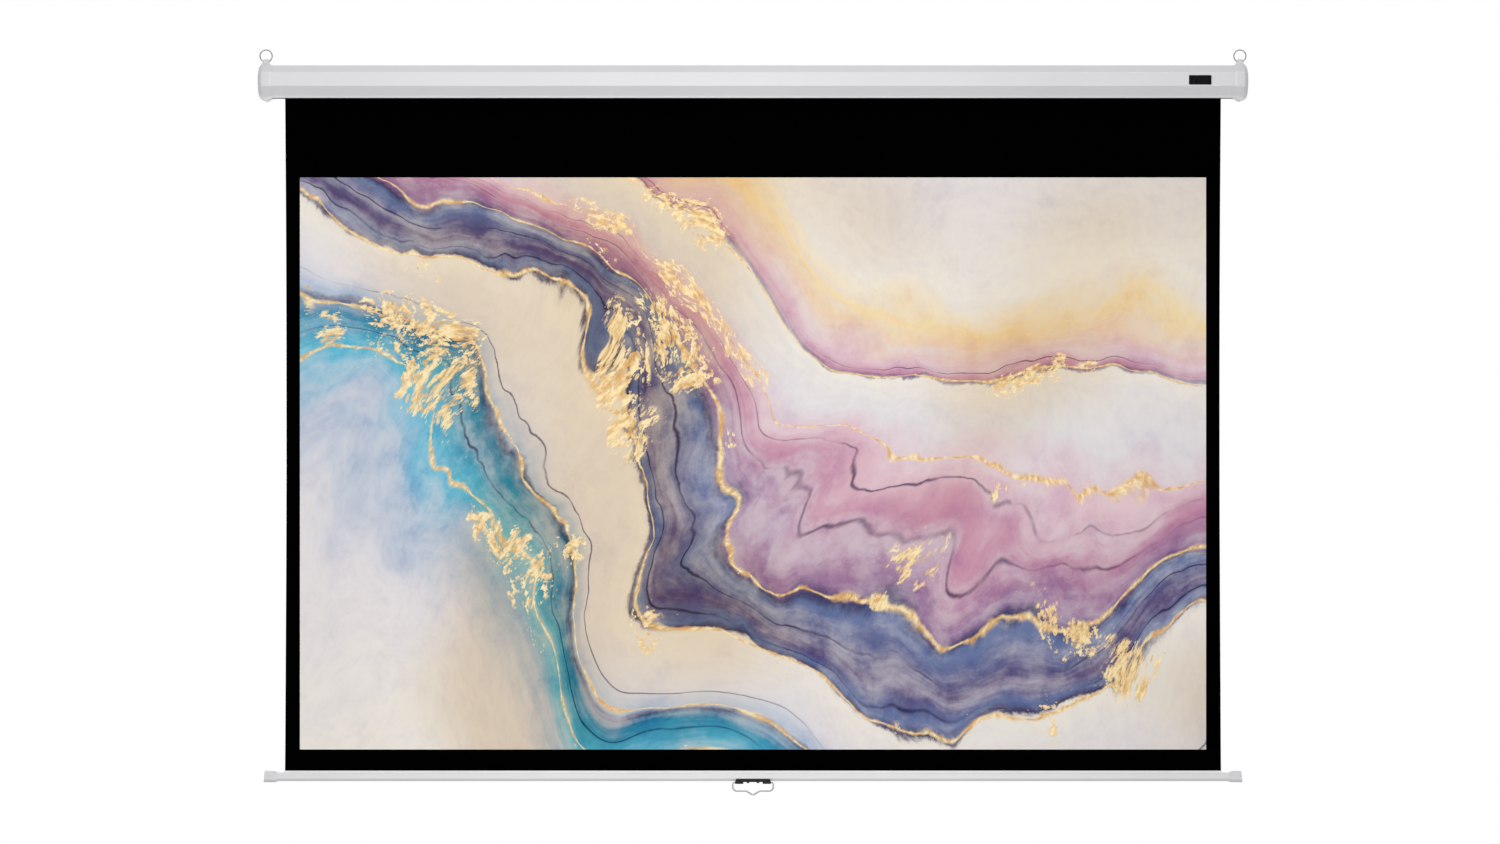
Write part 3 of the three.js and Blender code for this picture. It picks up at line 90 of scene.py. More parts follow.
CASE_LOW, CASE_HIGH = low("case_shell"), high("case_shell")
CAP_LOW, CAP_HIGH = low("right_end_cap"), high("right_end_cap")
BADGE_LOW, BADGE_HIGH = low("name_badge"), high("name_badge")
BAR_LOW, BAR_HIGH = low("weight_bar"), high("weight_bar")
CLAMP_LOW, CLAMP_HIGH = low("hem_clamp"), high("hem_clamp")
SHOE_LOW, SHOE_HIGH = low("right_bar_cap"), high("right_bar_cap")
BRACKET_LOW, BRACKET_HIGH = low("handle_bracket"), high("handle_bracket")
SHEET_LOW, SHEET_HIGH = low("screen_fabric"), high("screen_fabric")
MASK_LOW = low("top_drop_border")
HEM_LOW, HEM_HIGH = low("fabric_hem"), high("fabric_hem")
BORDER_LOW, BORDER_HIGH = low("bottom_border"), high("bottom_border")
SIDE_LOW = low("right_side_border")
RING_LOW, RING_HIGH = low("right_hanging_ring"), high("right_hanging_ring")
ROLLER_AXIS = pivot("roller_spin")
RING_PIVOT = pivot("right_ring_swing")
HANDLE_PIVOT = pivot("handle_swing")
SHEET_Y = HANDLE_PIVOT[1]


# Sizes and colours that a user would change

def length(name, description, default):
    limits = {"min": 0, "subtype": "DISTANCE", "unit": "LENGTH"}
    return FloatProperty(name=name, description=description, default=default, **limits)


def position(name, description, default):
    return FloatProperty(name=name, description=description, default=default, unit="LENGTH")


def share(name, description, default):
    return FloatProperty(name=name, description=description, default=default, min=0, max=1, subtype="FACTOR")


def colour(name, description, default):
    limits = {"min": 0, "max": 1, "size": 3, "subtype": "COLOR"}
    return FloatVectorProperty(name=name, description=description, default=default, **limits)


def power(name, description, default):
    return FloatProperty(name=name, description=description, default=default, min=0, unit="POWER")


class CaseSizes(bpy.types.PropertyGroup):
    wall: length("Wall", "Thickness of the folded steel", 1 * MM)
    bend: length("Bend radius", "Inner radius of the case's folds", 2 * MM)
    upper_bevel_height: length("Upper bevel height", "Height of the slope above the front face", 16.2 * MM)
    upper_bevel_depth: length("Upper bevel depth", "Depth of the slope above the front face", 18 * MM)
    lower_bevel_height: length("Lower bevel height", "Height of the slope under the front face", 21 * MM)
    lower_bevel_depth: length("Lower bevel depth", "Depth of the slope under the front face", 22 * MM)
    lip: length("Lip height", "Height of the upright lip along the mouth", 4.8 * MM)
    lip_return: length("Lip return", "Width of the flange turned in under the lip", 5 * MM)
    rear_flange: length("Rear flange", "Width of the flange turned in at the rear", 6 * MM)
    edge: length("Edge radius", "Rounding of the steel's cut edges", 0.3 * MM)


class CapSizes(bpy.types.PropertyGroup):
    collar: length("Collar", "How far the cap laps over the case", 11 * MM)
    lead_in: length("Lead-in", "Length over which the collar's wall grows", 8 * MM)
    lead_wall: length("Leading wall", "Wall at the collar's leading edge", 0.25 * MM)
    gap: length("Gap", "Gap between the collar and the case", 0.3 * MM)
    cover: length("Cover", "How far the cap stands outside the case's outline", 2.5 * MM)
    body: length("Body", "Length of the cap's straight body past the case's end", 9.7 * MM)
    dome: length("Dome", "Length of the domed end", 11.8 * MM)
    dome_end: share("Dome end", "Size of the flat end as a share of the cap's outline", 0.33)
    swell: length("Foot", "How far the foot swells below the case", 4.6 * MM)
    swell_reach: length("Foot reach", "Where the foot is lowest, past the case's end", 4 * MM)
    edge: length("Edge radius", "Rounding of the cap's long edges", 3 * MM)
    screw_clearance: length("Screw clearance", "Room around each screw", 0.3 * MM)
    lug_top: length("Lug top", "Width of the lug at its top", 10 * MM)
    lug_base: length("Lug base", "Width of the lug at its base", 21 * MM)
    lug_depth: length("Lug depth", "Front-to-back size of the lug at its base", 19 * MM)
    lug_wall: length("Lug wall", "Material around the ring's hole", 2.6 * MM)
    lug_fillet: length("Lug fillet", "Flare where the lug grows out of the cap", 1.6 * MM)
    hole: length("Ring hole", "Radius of the ring's hole at its narrowest", 4.12 * MM)
    hole_flare: length("Hole flare", "Extra radius of the ring's hole at its mouths", 0.7 * MM)


class SheetSizes(bpy.types.PropertyGroup):
    wave: length("Wave", "Half the height of the slack waves across the hanging sheet", 0.4 * MM)
    flare: length("Flare", "How much further each side reaches at the top and foot", 3.4 * MM)
    layers: IntProperty(name="Layers", description="Turns left on the roller", default=3, min=1, max=12)
    step: length("Mesh step", "Spacing of the sheet's points", 12 * MM)
    picture_strength: share("Picture", "Strength of the picture on the white surface", 1)


class BarSizes(bpy.types.PropertyGroup):
    bottom_round: length("Underside radius", "Radius of the saddle that holds the bar's underside", 7.45 * MM)
    slope_height: length("Slope height", "Height of the slope at each side of the bar's underside", 5.6 * MM)
    slope_depth: length("Slope depth", "Depth of the slope at each side of the bar's underside", 6 * MM)
    slope_round: length("Slope radius", "Rounding of the slope's edges", 2 * MM)
    top_round: length("Top radius", "Radius of the bar's upper edges", 1.6 * MM)
    groove: length("Groove depth", "Depth of the groove that holds the hem clamp", 6.5 * MM)
    clamp_round: length("Clamp radius", "Rounding of the clamp strip's upper edges", 0.9 * MM)
    clamp_slope: length("Clamp slope", "Length of the slope at each end of the clamp strip", 5 * MM)
    slit: length("Slit", "Width of the clamp's slit for the hem", 0.95 * MM)
    shoe_neck: length("Shoe neck", "Length over which the end shoe grows to its full size", 8 * MM)
    shoe_side: length("Shoe side", "How far the shoe stands out at each side", 1.6 * MM)
    shoe_above: length("Shoe above", "How far the shoe stands above the bar", 4.2 * MM)
    shoe_below: length("Shoe below", "How far the shoe reaches below the bar", 2.4 * MM)
    shoe_slant: length("Shoe slant", "How far the shoe's end leans outwards at its foot", 3.4 * MM)
    shoe_reach: length("Shoe reach", "How much further the shoe's foot reaches than the frame's", 2.6 * MM)
    shoe_lip: share("Shoe lip", "Share of the shoe's growth at its mouth", 0.35)
    shoe_edge: length("Shoe edge", "Rounding of the shoe's end", 1.1 * MM)
    gap: length("Gap", "Gap between the bar and what fits over it", 0.3 * MM)


class HandleSizes(bpy.types.PropertyGroup):
    wall: length("Bracket wall", "Thickness of the saddle under the bar", 1.9 * MM)
    end_slope: length("End slope", "How far the saddle's flanges lean in at its ends", 2.5 * MM)
    lobe_length: length("Lobe length", "Length of each lobe that carries the wire", 18.5 * MM)
    lobe_half: length("Lobe half width", "Half the front-to-back size of a lobe", 4.6 * MM)
    wire: length("Wire radius", "Radius of the handle's wire", 1.75 * MM)
    half_width: length("Half width", "Half the width of the handle's wire loop", 45.3 * MM)
    drop: length("Drop", "How far the wire's lower run hangs below its pivots", 19 * MM)
    dip_half: length("Dip half width", "Half the width of the dip in the middle", 15.4 * MM)
    dip: length("Dip", "Depth of the dip in the middle", 9.4 * MM)
    grip: length("Grip", "How far the wire's ends reach into the lobes", 10 * MM)


class Finishes(bpy.types.PropertyGroup):
    case_paint: colour("Case paint", "Powder coat of the case", (0.69, 0.69, 0.708))
    cap_plastic: colour("Cap plastic", "Moulded plastic of the end caps and bar shoes", (0.68, 0.68, 0.694))
    bar_paint: colour("Bar paint", "Paint on the bar", (0.72, 0.72, 0.73))
    # Lighter than the bar's paint: partly the strip's own white, partly a painted highlight for the light on
    # the bar's top.
    clamp_paint: colour("Clamp paint", "Paint on the strip that grips the hem", (0.83, 0.83, 0.835))
    screen_back: colour("Screen back", "Opaque rear coating of the screen", (0.012, 0.012, 0.013))
    screen_border: colour("Screen border", "Printed border on the screen's front", (0.0004, 0.0004, 0.0004))
    screen_matt: colour("Screen matt white", "Matt front of the screen", (0.86, 0.86, 0.85))
    black_plastic: colour("Black plastic", "Badge and handle bracket", (0.013, 0.013, 0.014))
    # Darker than bright chrome: a painted shade that stands in for the dark reflections on the handle's wire.
    chrome: colour("Bright wire", "Plating of the handle", (0.4, 0.4, 0.41))
    # Darker than the handle's wire: a painted shade that stands in for the dark reflections on the rings.
    ring_plating: colour("Ring wire", "Plating of the hanging rings", (0.29, 0.29, 0.3))


VIEW_HEIGHT = -0.7584  # of the camera, and of the point that the far lamps face


class StageSizes(bpy.types.PropertyGroup):
    view_width: length("View width", "Width that the camera sees at the screen", 3.3506)
    camera_distance: length("Camera distance", "Distance of the camera in front of the screen", 14)
    camera_x: position("Camera x", "Sideways place of the camera", -0.0067)
    camera_z: position("Camera z", "Height of the camera", VIEW_HEIGHT)
    floor_z: position("Floor", "Height of the floor", -2.6)
    floor_size: length("Floor size", "Length of the floor's sides", 6)
    key_power: power("Key light", "Power of the small front light", 7.7)
    low_power: power("Low light", "Power of the light under the case", 21)
    left_power: power("Left light", "Power of the light at the left", 3.3)
    top_power: power("Top light", "Power of the wide light from above", 41)
    back_power: power("Back light", "Power of the light behind the screen", 80)
    side_power: power("Side light", "Power of each upright strip light", 15.5)
    ambient: share("Ambient", "Brightness of the even light from all around", 0.44)


def group(kind, name, description):
    return PointerProperty(type=kind, name=name, description=description)


class ScreenModel(bpy.types.PropertyGroup):
    case: group(CaseSizes, "Case", "Sizes of the folded steel case")
    cap: group(CapSizes, "End caps", "Sizes of the end caps and their lugs")
    sheet: group(SheetSizes, "Screen", "Sizes and picture of the hanging screen")
    bar: group(BarSizes, "Bar", "Sizes of the weight bar, its clamp strip and its shoes")
    handle: group(HandleSizes, "Handle", "Sizes of the handle and its bracket")
    finishes: group(Finishes, "Finishes", "Colours of the pieces")
    stage: group(StageSizes, "Stage", "Camera, floor and light")


def model():
    """The settings of the open scene."""
    return bpy.context.scene.projection_screen


# Outlines, as arrays of points that run counterclockwise

NEARLY_HALF = 0.498


def points(*pairs):
    return np.array(pairs, float)


def unit(vectors):
    return vectors / np.linalg.norm(vectors, axis=-1, keepdims=True)


def arcs(before, corners, after, radius, steps):
    """Each corner becomes an arc that touches both of its sides. Its centre lies on the corner's bisector,
    at the radius divided by the sine of half the corner, and it stays just short of half the shorter side."""
    back, ahead = before - corners, after - corners
    shortest = np.minimum(np.linalg.norm(back, axis=1), np.linalg.norm(ahead, axis=1))[:, None]
    back, ahead = unit(back), unit(ahead)
    half = np.arccos(np.clip((back * ahead).sum(1, keepdims=True), -1, 1)) / 2
    wanted = np.broadcast_to(radius, len(corners)).reshape(-1, 1)
    reach = np.minimum(wanted / np.tan(half), NEARLY_HALF * shortest)
    centre = corners + unit(back + ahead) * reach * np.tan(half) / np.sin(half)
    start = corners + back * reach - centre
    end = corners + ahead * reach - centre
    turn = np.arctan2(start[:, 0] * end[:, 1] - start[:, 1] * end[:, 0], (start * end).sum(1))
    angle = turn[:, None] * np.linspace(0, 1, steps + 1)
    across = start[:, :1] * np.cos(angle) - start[:, 1:] * np.sin(angle) + centre[:, :1]
    along = start[:, :1] * np.sin(angle) + start[:, 1:] * np.cos(angle) + centre[:, 1:]
    return np.stack([across.ravel(), along.ravel()], axis=1)


def rounded(corners, radius, steps):
    """A closed outline with every corner made an arc."""
    return arcs(np.roll(corners, 1, axis=0), corners, np.roll(corners, -1, axis=0), radius, steps)


def offset(corners, distance, closed=True):
    """Each side of a counterclockwise line moves outwards by a distance, and each corner along its mitre. An
    open line has square ends."""
    side = np.roll(corners, -1, axis=0) - corners
    normal = unit(np.stack([side[:, 1], -side[:, 0]], axis=1))
    if not closed:
        normal[-1] = normal[-2]
    before = np.roll(normal, 1, axis=0)
    if not closed:
        before[0] = normal[0]
    mitre = (before + normal) / (1 + (before * normal).sum(1, keepdims=True))
    return corners + mitre * distance


def inset(outline, distance):
    """Each point of a finely stepped outline moves inwards, square to the line through its neighbours."""
    along = np.roll(outline, -1, axis=0) - np.roll(outline, 1, axis=0)
    return outline + unit(np.stack([-along[:, 1], along[:, 0]], axis=1)) * distance


def ease(value):
    """A curve from 0 to 1 that is level at both ends: three squares less two cubes."""
    value = np.clip(value, 0, 1)
    return value * value * (3 - 2 * value)


# Meshes from grids of points

def grid_faces(rings, sides, closed=False):
    """The quads between neighbouring rings of points. The last ring meets the first one on a closed loop."""
    ring = np.arange(rings if closed else rings - 1)[:, None]
    side = np.arange(sides)[None, :]
    here, over = ring * sides, (ring + 1) % rings * sides
    right = (side + 1) % sides
    quads = np.stack(np.broadcast_arrays(here + side, here + right, over + right, over + side), axis=-1)
    return quads.reshape(-1, 4)


def new_mesh(name, place, faces):
    """A mesh from its points' places and the points of each face."""
    mesh = bpy.data.meshes.new(name)
    mesh.from_pydata(np.reshape(place, (-1, 3)).tolist(), [], faces)
    return mesh


def add_object(name, data):
    """Puts a mesh, a lamp or a camera into the scene."""
    added = bpy.data.objects.new(name, data)
    bpy.context.scene.collection.objects.link(added)
    return added


def add_piece(name, grid, closed=False, ends=True, sharp=30):
    """A piece of one grid, given as rings x sides x 3, whose open ends are each closed by one face."""
    rings, sides = grid.shape[:2]
    faces = grid_faces(rings, sides, closed).tolist()
    if ends and not closed:
        faces.append(list(range(sides - 1, -1, -1)))
        faces.append(list(range((rings - 1) * sides, rings * sides)))
    piece = add_object(name, new_mesh(name, grid, faces))
    smooth(piece, sharp)
    return piece


def smooth(piece, sharp):
    """Smooth shading that breaks at edges sharper than an angle in degrees."""
    mesh = piece.data
    mesh.polygons.foreach_set("use_smooth", np.ones(len(mesh.polygons), bool))
    mesh.set_sharp_from_angle(angle=math.radians(sharp))
    mesh.update()


def flat_faces_first(piece):
    """Large flat faces keep their own normals, so the bends between them shade cleanly."""
    weighted = piece.modifiers.new("weighted_normal", "WEIGHTED_NORMAL")
    weighted.keep_sharp = True


def along_x(outline, stations):
    """A (y, z) outline, or one for each station, carried along X."""
    stations = np.asarray(stations, float).reshape(len(stations), -1, 1)
    outline = np.broadcast_to(outline, (len(stations),) + outline.shape[-2:])
    across = np.broadcast_to(stations, outline.shape[:2] + (1,))
    return np.concatenate([across, outline], axis=2)


AXES = {"x": (0, 1, 2), "z": (2, 0, 1)}  # the axis and the two across it


def turned(profile, centre, axis, sides):
    """A ring for each (radius, distance) pair: the centre plus the radius times the cosine and sine of the
    angle, with the distance measured along the axis."""
    profile = np.asarray(profile, float)
    angle = np.linspace(0, 2 * np.pi, sides, endpoint=False)
    along, first, second = AXES[axis]
    grid = np.empty((len(profile), sides, 3))
    grid[..., along] = profile[:, 1:]
    grid[..., first] = centre[first] + profile[:, :1] * np.cos(angle)
    grid[..., second] = centre[second] + profile[:, :1] * np.sin(angle)
    return grid


def wire(path, radius, sides):
    """A round wire along a path that lies in a plane across Y: each ring stands square to the path."""
    ahead = np.gradient(path, axis=0)
    across = unit(np.stack([ahead[:, 2], np.zeros(len(path)), -ahead[:, 0]], axis=1))
    angle = np.linspace(0, 2 * np.pi, sides, endpoint=False)[None, :, None]
    depth = np.array([0, 1, 0])
    return path[:, None] + radius * (np.cos(angle) * across[:, None] + np.sin(angle) * depth)


def carve(piece, operation, tools, sharp):
    """Joins closed tools to a piece, or cuts them out of it, and keeps the result as its mesh."""
    for tool in tools:
        modifier = piece.modifiers.new("carve", "BOOLEAN")
        modifier.operation = operation
        modifier.solver = "EXACT"
        modifier.object = tool
    graph = bpy.context.evaluated_depsgraph_get()
    mesh = bpy.data.meshes.new_from_object(piece.evaluated_get(graph))
    piece.modifiers.clear()
    piece.data = mesh
    if len(mesh.polygons) == 0:
        raise RuntimeError(f"{piece.name} lost its faces")
    for tool in tools:
        bpy.data.objects.remove(tool)
    smooth(piece, sharp)
    return piece


def mirrored(piece):
    """The same piece at the left-hand end, with the word left in its name."""
    mesh = piece.data.copy()
    place = np.empty(len(mesh.vertices) * 3, np.float32)
    mesh.vertices.foreach_get("co", place)
    place[::3] *= -1
    mesh.vertices.foreach_set("co", place)
    mesh.flip_normals()
    other = add_object(piece.name.replace("right", "left"), mesh)
    if len(piece.modifiers) > 0:
        flat_faces_first(other)
    return other


def dress(piece, body, slot, material, *nodes):
    """Gives a piece its material, the body that it rides on and the frame's nodes that it stands for."""
    piece.data.materials.clear()
    piece.data.materials.append(material)
    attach(piece, body)
    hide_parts(*nodes)


def dress_pair(piece, body, slot, material, node):
    """Dresses a right-hand piece and its mirror image at the left."""
    other = mirrored(piece)
    dress(piece, body, slot, material, node)
    dress(other, body.replace("right", "left"), slot, material, node.replace("right", "left"))


# Shader maths

class Value:
    """A node's output. Each operator on it adds one Math node."""

    def __init__(self, finish, socket):
        self.finish = finish
        self.socket = socket

    def __add__(self, other):
        return self.finish.math("ADD", self, other)

    def __radd__(self, other):
        return self.finish.math("ADD", other, self)

    def __sub__(self, other):
        return self.finish.math("SUBTRACT", self, other)

    def __rsub__(self, other):
        return self.finish.math("SUBTRACT", other, self)

    def __mul__(self, other):
        return self.finish.math("MULTIPLY", self, other)

    def __rmul__(self, other):
        return self.finish.math("MULTIPLY", other, self)

    def __abs__(self):
        return self.finish.math("ABSOLUTE", self)


class Finish:
    """One material, or the world, and its nodes."""

    def __init__(self, name, kind="materials"):
        self.owner = getattr(bpy.data, kind).new(name)
        self.owner.use_nodes = True
        self.tree = self.owner.node_tree
        self.tree.nodes.clear()

    def node(self, kind, settings=None, sockets=None, output=0):
        """Adds a node: its settings first, then the value or link of each socket, and gives one output."""
        node = self.tree.nodes.new(kind)
        for key, value in (settings or {}).items():
            if key == "stops":
                self.set_stops(node.color_ramp, value)
            else:
                setattr(node, key, value)
        for key, value in (sockets or {}).items():
            socket = self.find(node.inputs, key)
            if isinstance(value, Value):
                self.tree.links.new(value.socket, socket)
            else:
                socket.default_value = value
        return Value(self, self.find(node.outputs, output))

    def find(self, sockets, key):
        if isinstance(key, int):
            return sockets[key]
        return next(s for s in sockets if key in (s.identifier, s.name))

    def set_stops(self, ramp, stops):
        while len(ramp.elements) < len(stops):
            ramp.elements.new(0.5)
        for element, (place, tone) in zip(ramp.elements, stops):
            element.position = place
            element.color = opaque(tone)

    def math(self, operation, *operands):
        return self.node("ShaderNodeMath", {"operation": operation}, dict(enumerate(operands)))

    def largest(self, value, *others):
        for other in others:
            value = self.math("MAXIMUM", value, other)
        return value

    def vector(self, operation, *operands):
        return self.node("ShaderNodeVectorMath", {"operation": operation}, dict(enumerate(operands)))

    def place(self):
        return self.node("ShaderNodeTexCoord", output="Object")

    def split(self, vector):
        node = self.node("ShaderNodeSeparateXYZ", sockets={0: vector}).socket.node
        return [Value(self, node.outputs[i]) for i in range(3)]

    def join(self, x, y, z):
        return self.node("ShaderNodeCombineXYZ", sockets={0: x, 1: y, 2: z})

    def noise(self, vector, scale, detail, roughness=0.5, output="Fac"):
        """Noise from 0 to 1 whose scale is in patterns a metre."""
        sockets = {"Vector": vector, "Scale": scale, "Detail": detail, "Roughness": roughness}
        return self.node("ShaderNodeTexNoise", sockets=sockets, output=output)

    def cells(self, vector, scale):
        """The distance to the nearest of many strewn points, of which the scale gives the number a metre."""
        sockets = {"Vector": vector, "Scale": scale}
        return self.node("ShaderNodeTexVoronoi", sockets=sockets, output="Distance")

    def step(self, value, start, end, bottom=0.0, top=1.0):
        """A smooth step of a value from one level to another."""
        sockets = {"Value": value, "From Min": start, "From Max": end, "To Min": bottom, "To Max": top}
        return self.node("ShaderNodeMapRange", {"interpolation_type": "SMOOTHSTEP"}, sockets)

    def line(self, value, level, width):
        """A soft line where a value passes a level."""
        return self.step(abs(value - level), 0.0, width, 1.0, 0.0)

    def mix(self, factor, first, second, blend="MIX"):
        sockets = {"Factor_Float": factor, "A_Color": first, "B_Color": second}
        settings = {"data_type": "RGBA", "blend_type": blend, "clamp_factor": True}
        return self.node("ShaderNodeMix", settings, sockets, "Result_Color")

    def ramp(self, value, stops):
        return self.node("ShaderNodeValToRGB", {"stops": stops}, {"Fac": value}, "Color")

    def bump(self, height, strength, distance):
        sockets = {"Height": height, "Strength": strength, "Distance": distance}
        return self.node("ShaderNodeBump", sockets=sockets)

    def shader(self, base, rough, normal=None, constants=None):
        """A surface. The constants are the sockets that are the same all over it."""
        sockets = {"Base Color": base, "Roughness": rough, **(constants or {})}
        if normal is not None:
            sockets["Normal"] = normal
        return self.node("ShaderNodeBsdfPrincipled", sockets=sockets)

    def mix_shader(self, factor, first, second):
        return self.node("ShaderNodeMixShader", sockets={0: factor, 1: first, 2: second})

    def seen(self):
        """One on the rays of the camera, of mirrors and of glass, and nought on the rays that light."""
        rays = self.node("ShaderNodeLightPath").socket.node.outputs
        kinds = ("Is Camera Ray", "Is Glossy Ray", "Is Transmission Ray")
        return self.largest(*(Value(self, rays[kind]) for kind in kinds))

    def done(self, shader, output="ShaderNodeOutputMaterial"):
        """Links the last shader to the output, and gives the material or the world."""
        node = self.tree.nodes.new(output)
        self.tree.links.new(shader.socket, node.inputs["Surface"])
        return self.owner


WHITE = (1, 1, 1, 1)


def opaque(tone):
    return (*tone, 1)


def tinted(tone, factor):
    return opaque([min(1.0, channel * factor) for channel in tone])


def screen_tone(red, green, blue):
    """A colour given in a picture's 0 to 255 steps, as linear light: the display curve undone."""
    values = np.array([red, green, blue]) / 255
    linear = np.where(values <= 0.04045, values / 12.92, ((values + 0.055) / 1.055) ** 2.4)
    return tuple(float(v) for v in linear)


# Finishes. Each function describes one material with its nodes, and the material has the function's name.

def powder_coat(f):
    """Satin powder coat: orange peel about 1.5 mm across, faint cloudiness and a fine grain."""
    tone = model().finishes.case_paint
    place = f.place()
    cloud = f.noise(place, scale=3.5, detail=3.0)
    peel = f.noise(place, scale=640.0, detail=2.0)
    grain = f.noise(place, scale=2600.0, detail=1.0)
    base = f.mix(f.step(cloud, 0.3, 0.7), tinted(tone, 0.985), tinted(tone, 1.012))
    rough = 0.36 + 0.05 * cloud + 0.05 * grain
    return f.shader(base, rough, f.bump(peel + 0.25 * grain, strength=0.14, distance=0.2 * MM))


def moulded_white(f):
    """Satin moulded plastic: an even spark-eroded grain and a faint cloudiness."""
    tone = model().finishes.cap_plastic
    place = f.place()
    cloud = f.noise(place, scale=14.0, detail=2.0)
    grain = f.noise(place, scale=1900.0, detail=3.0, roughness=0.6)
    base = f.mix(f.step(cloud, 0.3, 0.75), tinted(tone, 0.985), tinted(tone, 1.015))
    return f.shader(base, 0.33 + 0.12 * grain, f.bump(grain, strength=0.12, distance=0.12 * MM))


def painted_aluminium(f, tone):
    """Painted aluminium: the die's fine lines run along the bar under the paint."""
    place = f.place()
    x, y, z = f.split(place)
    lines = f.noise(f.join(x * 2.0, y * 900.0, z * 900.0), scale=1.0, detail=3.0, roughness=0.6)
    peel = f.noise(place, scale=700.0, detail=2.0)
    cloud = f.noise(place, scale=5.0, detail=2.0)
    base = f.mix(f.step(cloud, 0.3, 0.7), tinted(tone, 0.985), tinted(tone, 1.01))
    normal = f.bump(0.5 * lines + 0.5 * peel, strength=0.12, distance=0.12 * MM)
    return f.shader(base, 0.32 + 0.08 * lines, normal)


def bar_paint(f):
    return painted_aluminium(f, model().finishes.bar_paint)


# The bar's paint in a lighter tone: partly the strip's own white, partly a painted highlight for the top-lit
# strip.
def clamp_paint(f):
    return painted_aluminium(f, model().finishes.clamp_paint)


def black_plastic(f):
    """Black moulded plastic with a fine grain and faint handling marks."""
    tone = model().finishes.black_plastic
    place = f.place()
    grain = f.noise(place, scale=1500.0, detail=3.0, roughness=0.6)
    marks = f.noise(place, scale=60.0, detail=4.0, roughness=0.7)
    base = f.mix(f.step(marks, 0.55, 0.8), opaque(tone), tinted(tone, 1.9))
    rough = 0.34 + 0.1 * grain + 0.1 * marks
    return f.shader(base, rough, f.bump(grain, strength=0.15, distance=0.1 * MM))


def badge_lacquer(f):
    """The badge's glossy black face, bare, with a faint orange peel."""
    place = f.place()
    peel = f.noise(place, scale=420.0, detail=2.0)
    marks = f.noise(place, scale=90.0, detail=4.0, roughness=0.7)
    base = f.mix(f.step(marks, 0.5, 0.8), opaque((0.006, 0.006, 0.007)), opaque((0.012, 0.012, 0.013)))
    normal = f.bump(peel, strength=0.05, distance=0.1 * MM)
    return f.shader(base, 0.2 + 0.12 * marks, normal, {"Specular IOR Level": 0.35})


def metal(f, tone, rough, streak_scale, streak_depth):
    """Bare or plated metal: drawn streaks along X, cloudy plating and soft smears in the gloss."""
    place = f.place()
    x, y, z = f.split(place)
    drawn = f.join(x * (0.03 * streak_scale), y * streak_scale, z * streak_scale)
    streaks = f.noise(drawn, scale=1.0, detail=3.0, roughness=0.6)
    cloud = f.noise(place, scale=120.0, detail=3.0, roughness=0.6)
    base = f.mix(f.step(cloud, 0.3, 0.75), tinted(tone, 0.86), tinted(tone, 1.08))
    normal = f.bump(streaks, streak_depth, distance=0.05 * MM)
    return f.shader(base, rough + 0.1 * streaks + 0.08 * cloud, normal, {"Metallic": 1.0})


def zinc_plate(f):
    return metal(f, (0.55, 0.56, 0.58), rough=0.22, streak_scale=1400.0, streak_depth=0.2)


# The handle's chrome, darkened as a painted shade for its dark reflections.
def bright_wire(f):
    return metal(f, model().finishes.chrome, rough=0.06, streak_scale=900.0, streak_depth=0.08)


# The rings' chrome, darkened as a painted shade for their dark reflections.
def ring_wire(f):
    return metal(f, model().finishes.ring_plating, rough=0.08, streak_scale=900.0, streak_depth=0.08)


def black_steel(f):
    return metal(f, (0.05, 0.05, 0.053), rough=0.3, streak_scale=900.0, streak_depth=0.15)


def spring_wire(f):
    return metal(f, (0.2, 0.21, 0.22), rough=0.26, streak_scale=1500.0, streak_depth=0.25)


def natural_nylon(f):
    """Natural nylon: slightly yellow, waxy, with faint flow marks."""
    flow = f.noise(f.place(), scale=160.0, detail=3.0, roughness=0.6)
    base = f.mix(f.step(flow, 0.3, 0.8), opaque((0.8, 0.77, 0.68)), opaque((0.85, 0.83, 0.76)))
    normal = f.bump(flow, strength=0.1, distance=0.1 * MM)
    wax = {"Subsurface Weight": 0.15, "Subsurface Scale": 2 * MM}
    return f.shader(base, 0.42 + 0.1 * flow, normal, wax)


THREADS_A_METRE = 1150.0


def weave(f, place):
    """The cloth's plain weave: the product of two sines, one across and one up, on a thread's spacing."""
    x, _, z = f.split(place)
    turn = 2 * math.pi * THREADS_A_METRE
    return f.math("SINE", x * turn) * f.math("SINE", z * turn)


def cloth_grain(f, place):
    return f.noise(place, scale=1700.0, detail=2.0)


def front_bump(f, place, grain):
    """The weave as it shows through the front's smooth coating."""
    return f.bump(0.6 * weave(f, place) + 0.4 * grain, strength=0.12, distance=0.06 * MM)


def screen_back(f):
    """The screen's opaque rear coating: matt vinyl over a plain weave."""
    tone = model().finishes.screen_back
    place = f.place()
    cloud = f.noise(place, scale=9.0, detail=3.0)
    grain = cloth_grain(f, place)
    base = f.mix(f.step(cloud, 0.3, 0.7), opaque(tone), tinted(tone, 1.35))
    normal = f.bump(0.7 * weave(f, place) + 0.4 * grain, strength=0.25, distance=0.08 * MM)
    return f.shader(base, 0.62 + 0.12 * grain, normal, {"Specular IOR Level": 0.25})


# The picture's colours, as a picture shows them
CREAM = screen_tone(235, 229, 218)
PEARL = screen_tone(223, 219, 220)
BLUSH = screen_tone(221, 190, 198)
ROSE = screen_tone(196, 142, 164)
MAUVE = screen_tone(146, 112, 150)
PLUM = screen_tone(92, 74, 118)
SLATE = screen_tone(104, 120, 160)
MIST = screen_tone(168, 186, 206)
AQUA = screen_tone(92, 184, 208)
TEAL = screen_tone(30, 120, 156)
SAND = screen_tone(238, 214, 164)
GOLD = screen_tone(214, 160, 84)
PALE_GOLD = screen_tone(252, 232, 182)
WARM_WHITE = screen_tone(240, 222, 190)
DEEP_INK = screen_tone(70, 58, 92)

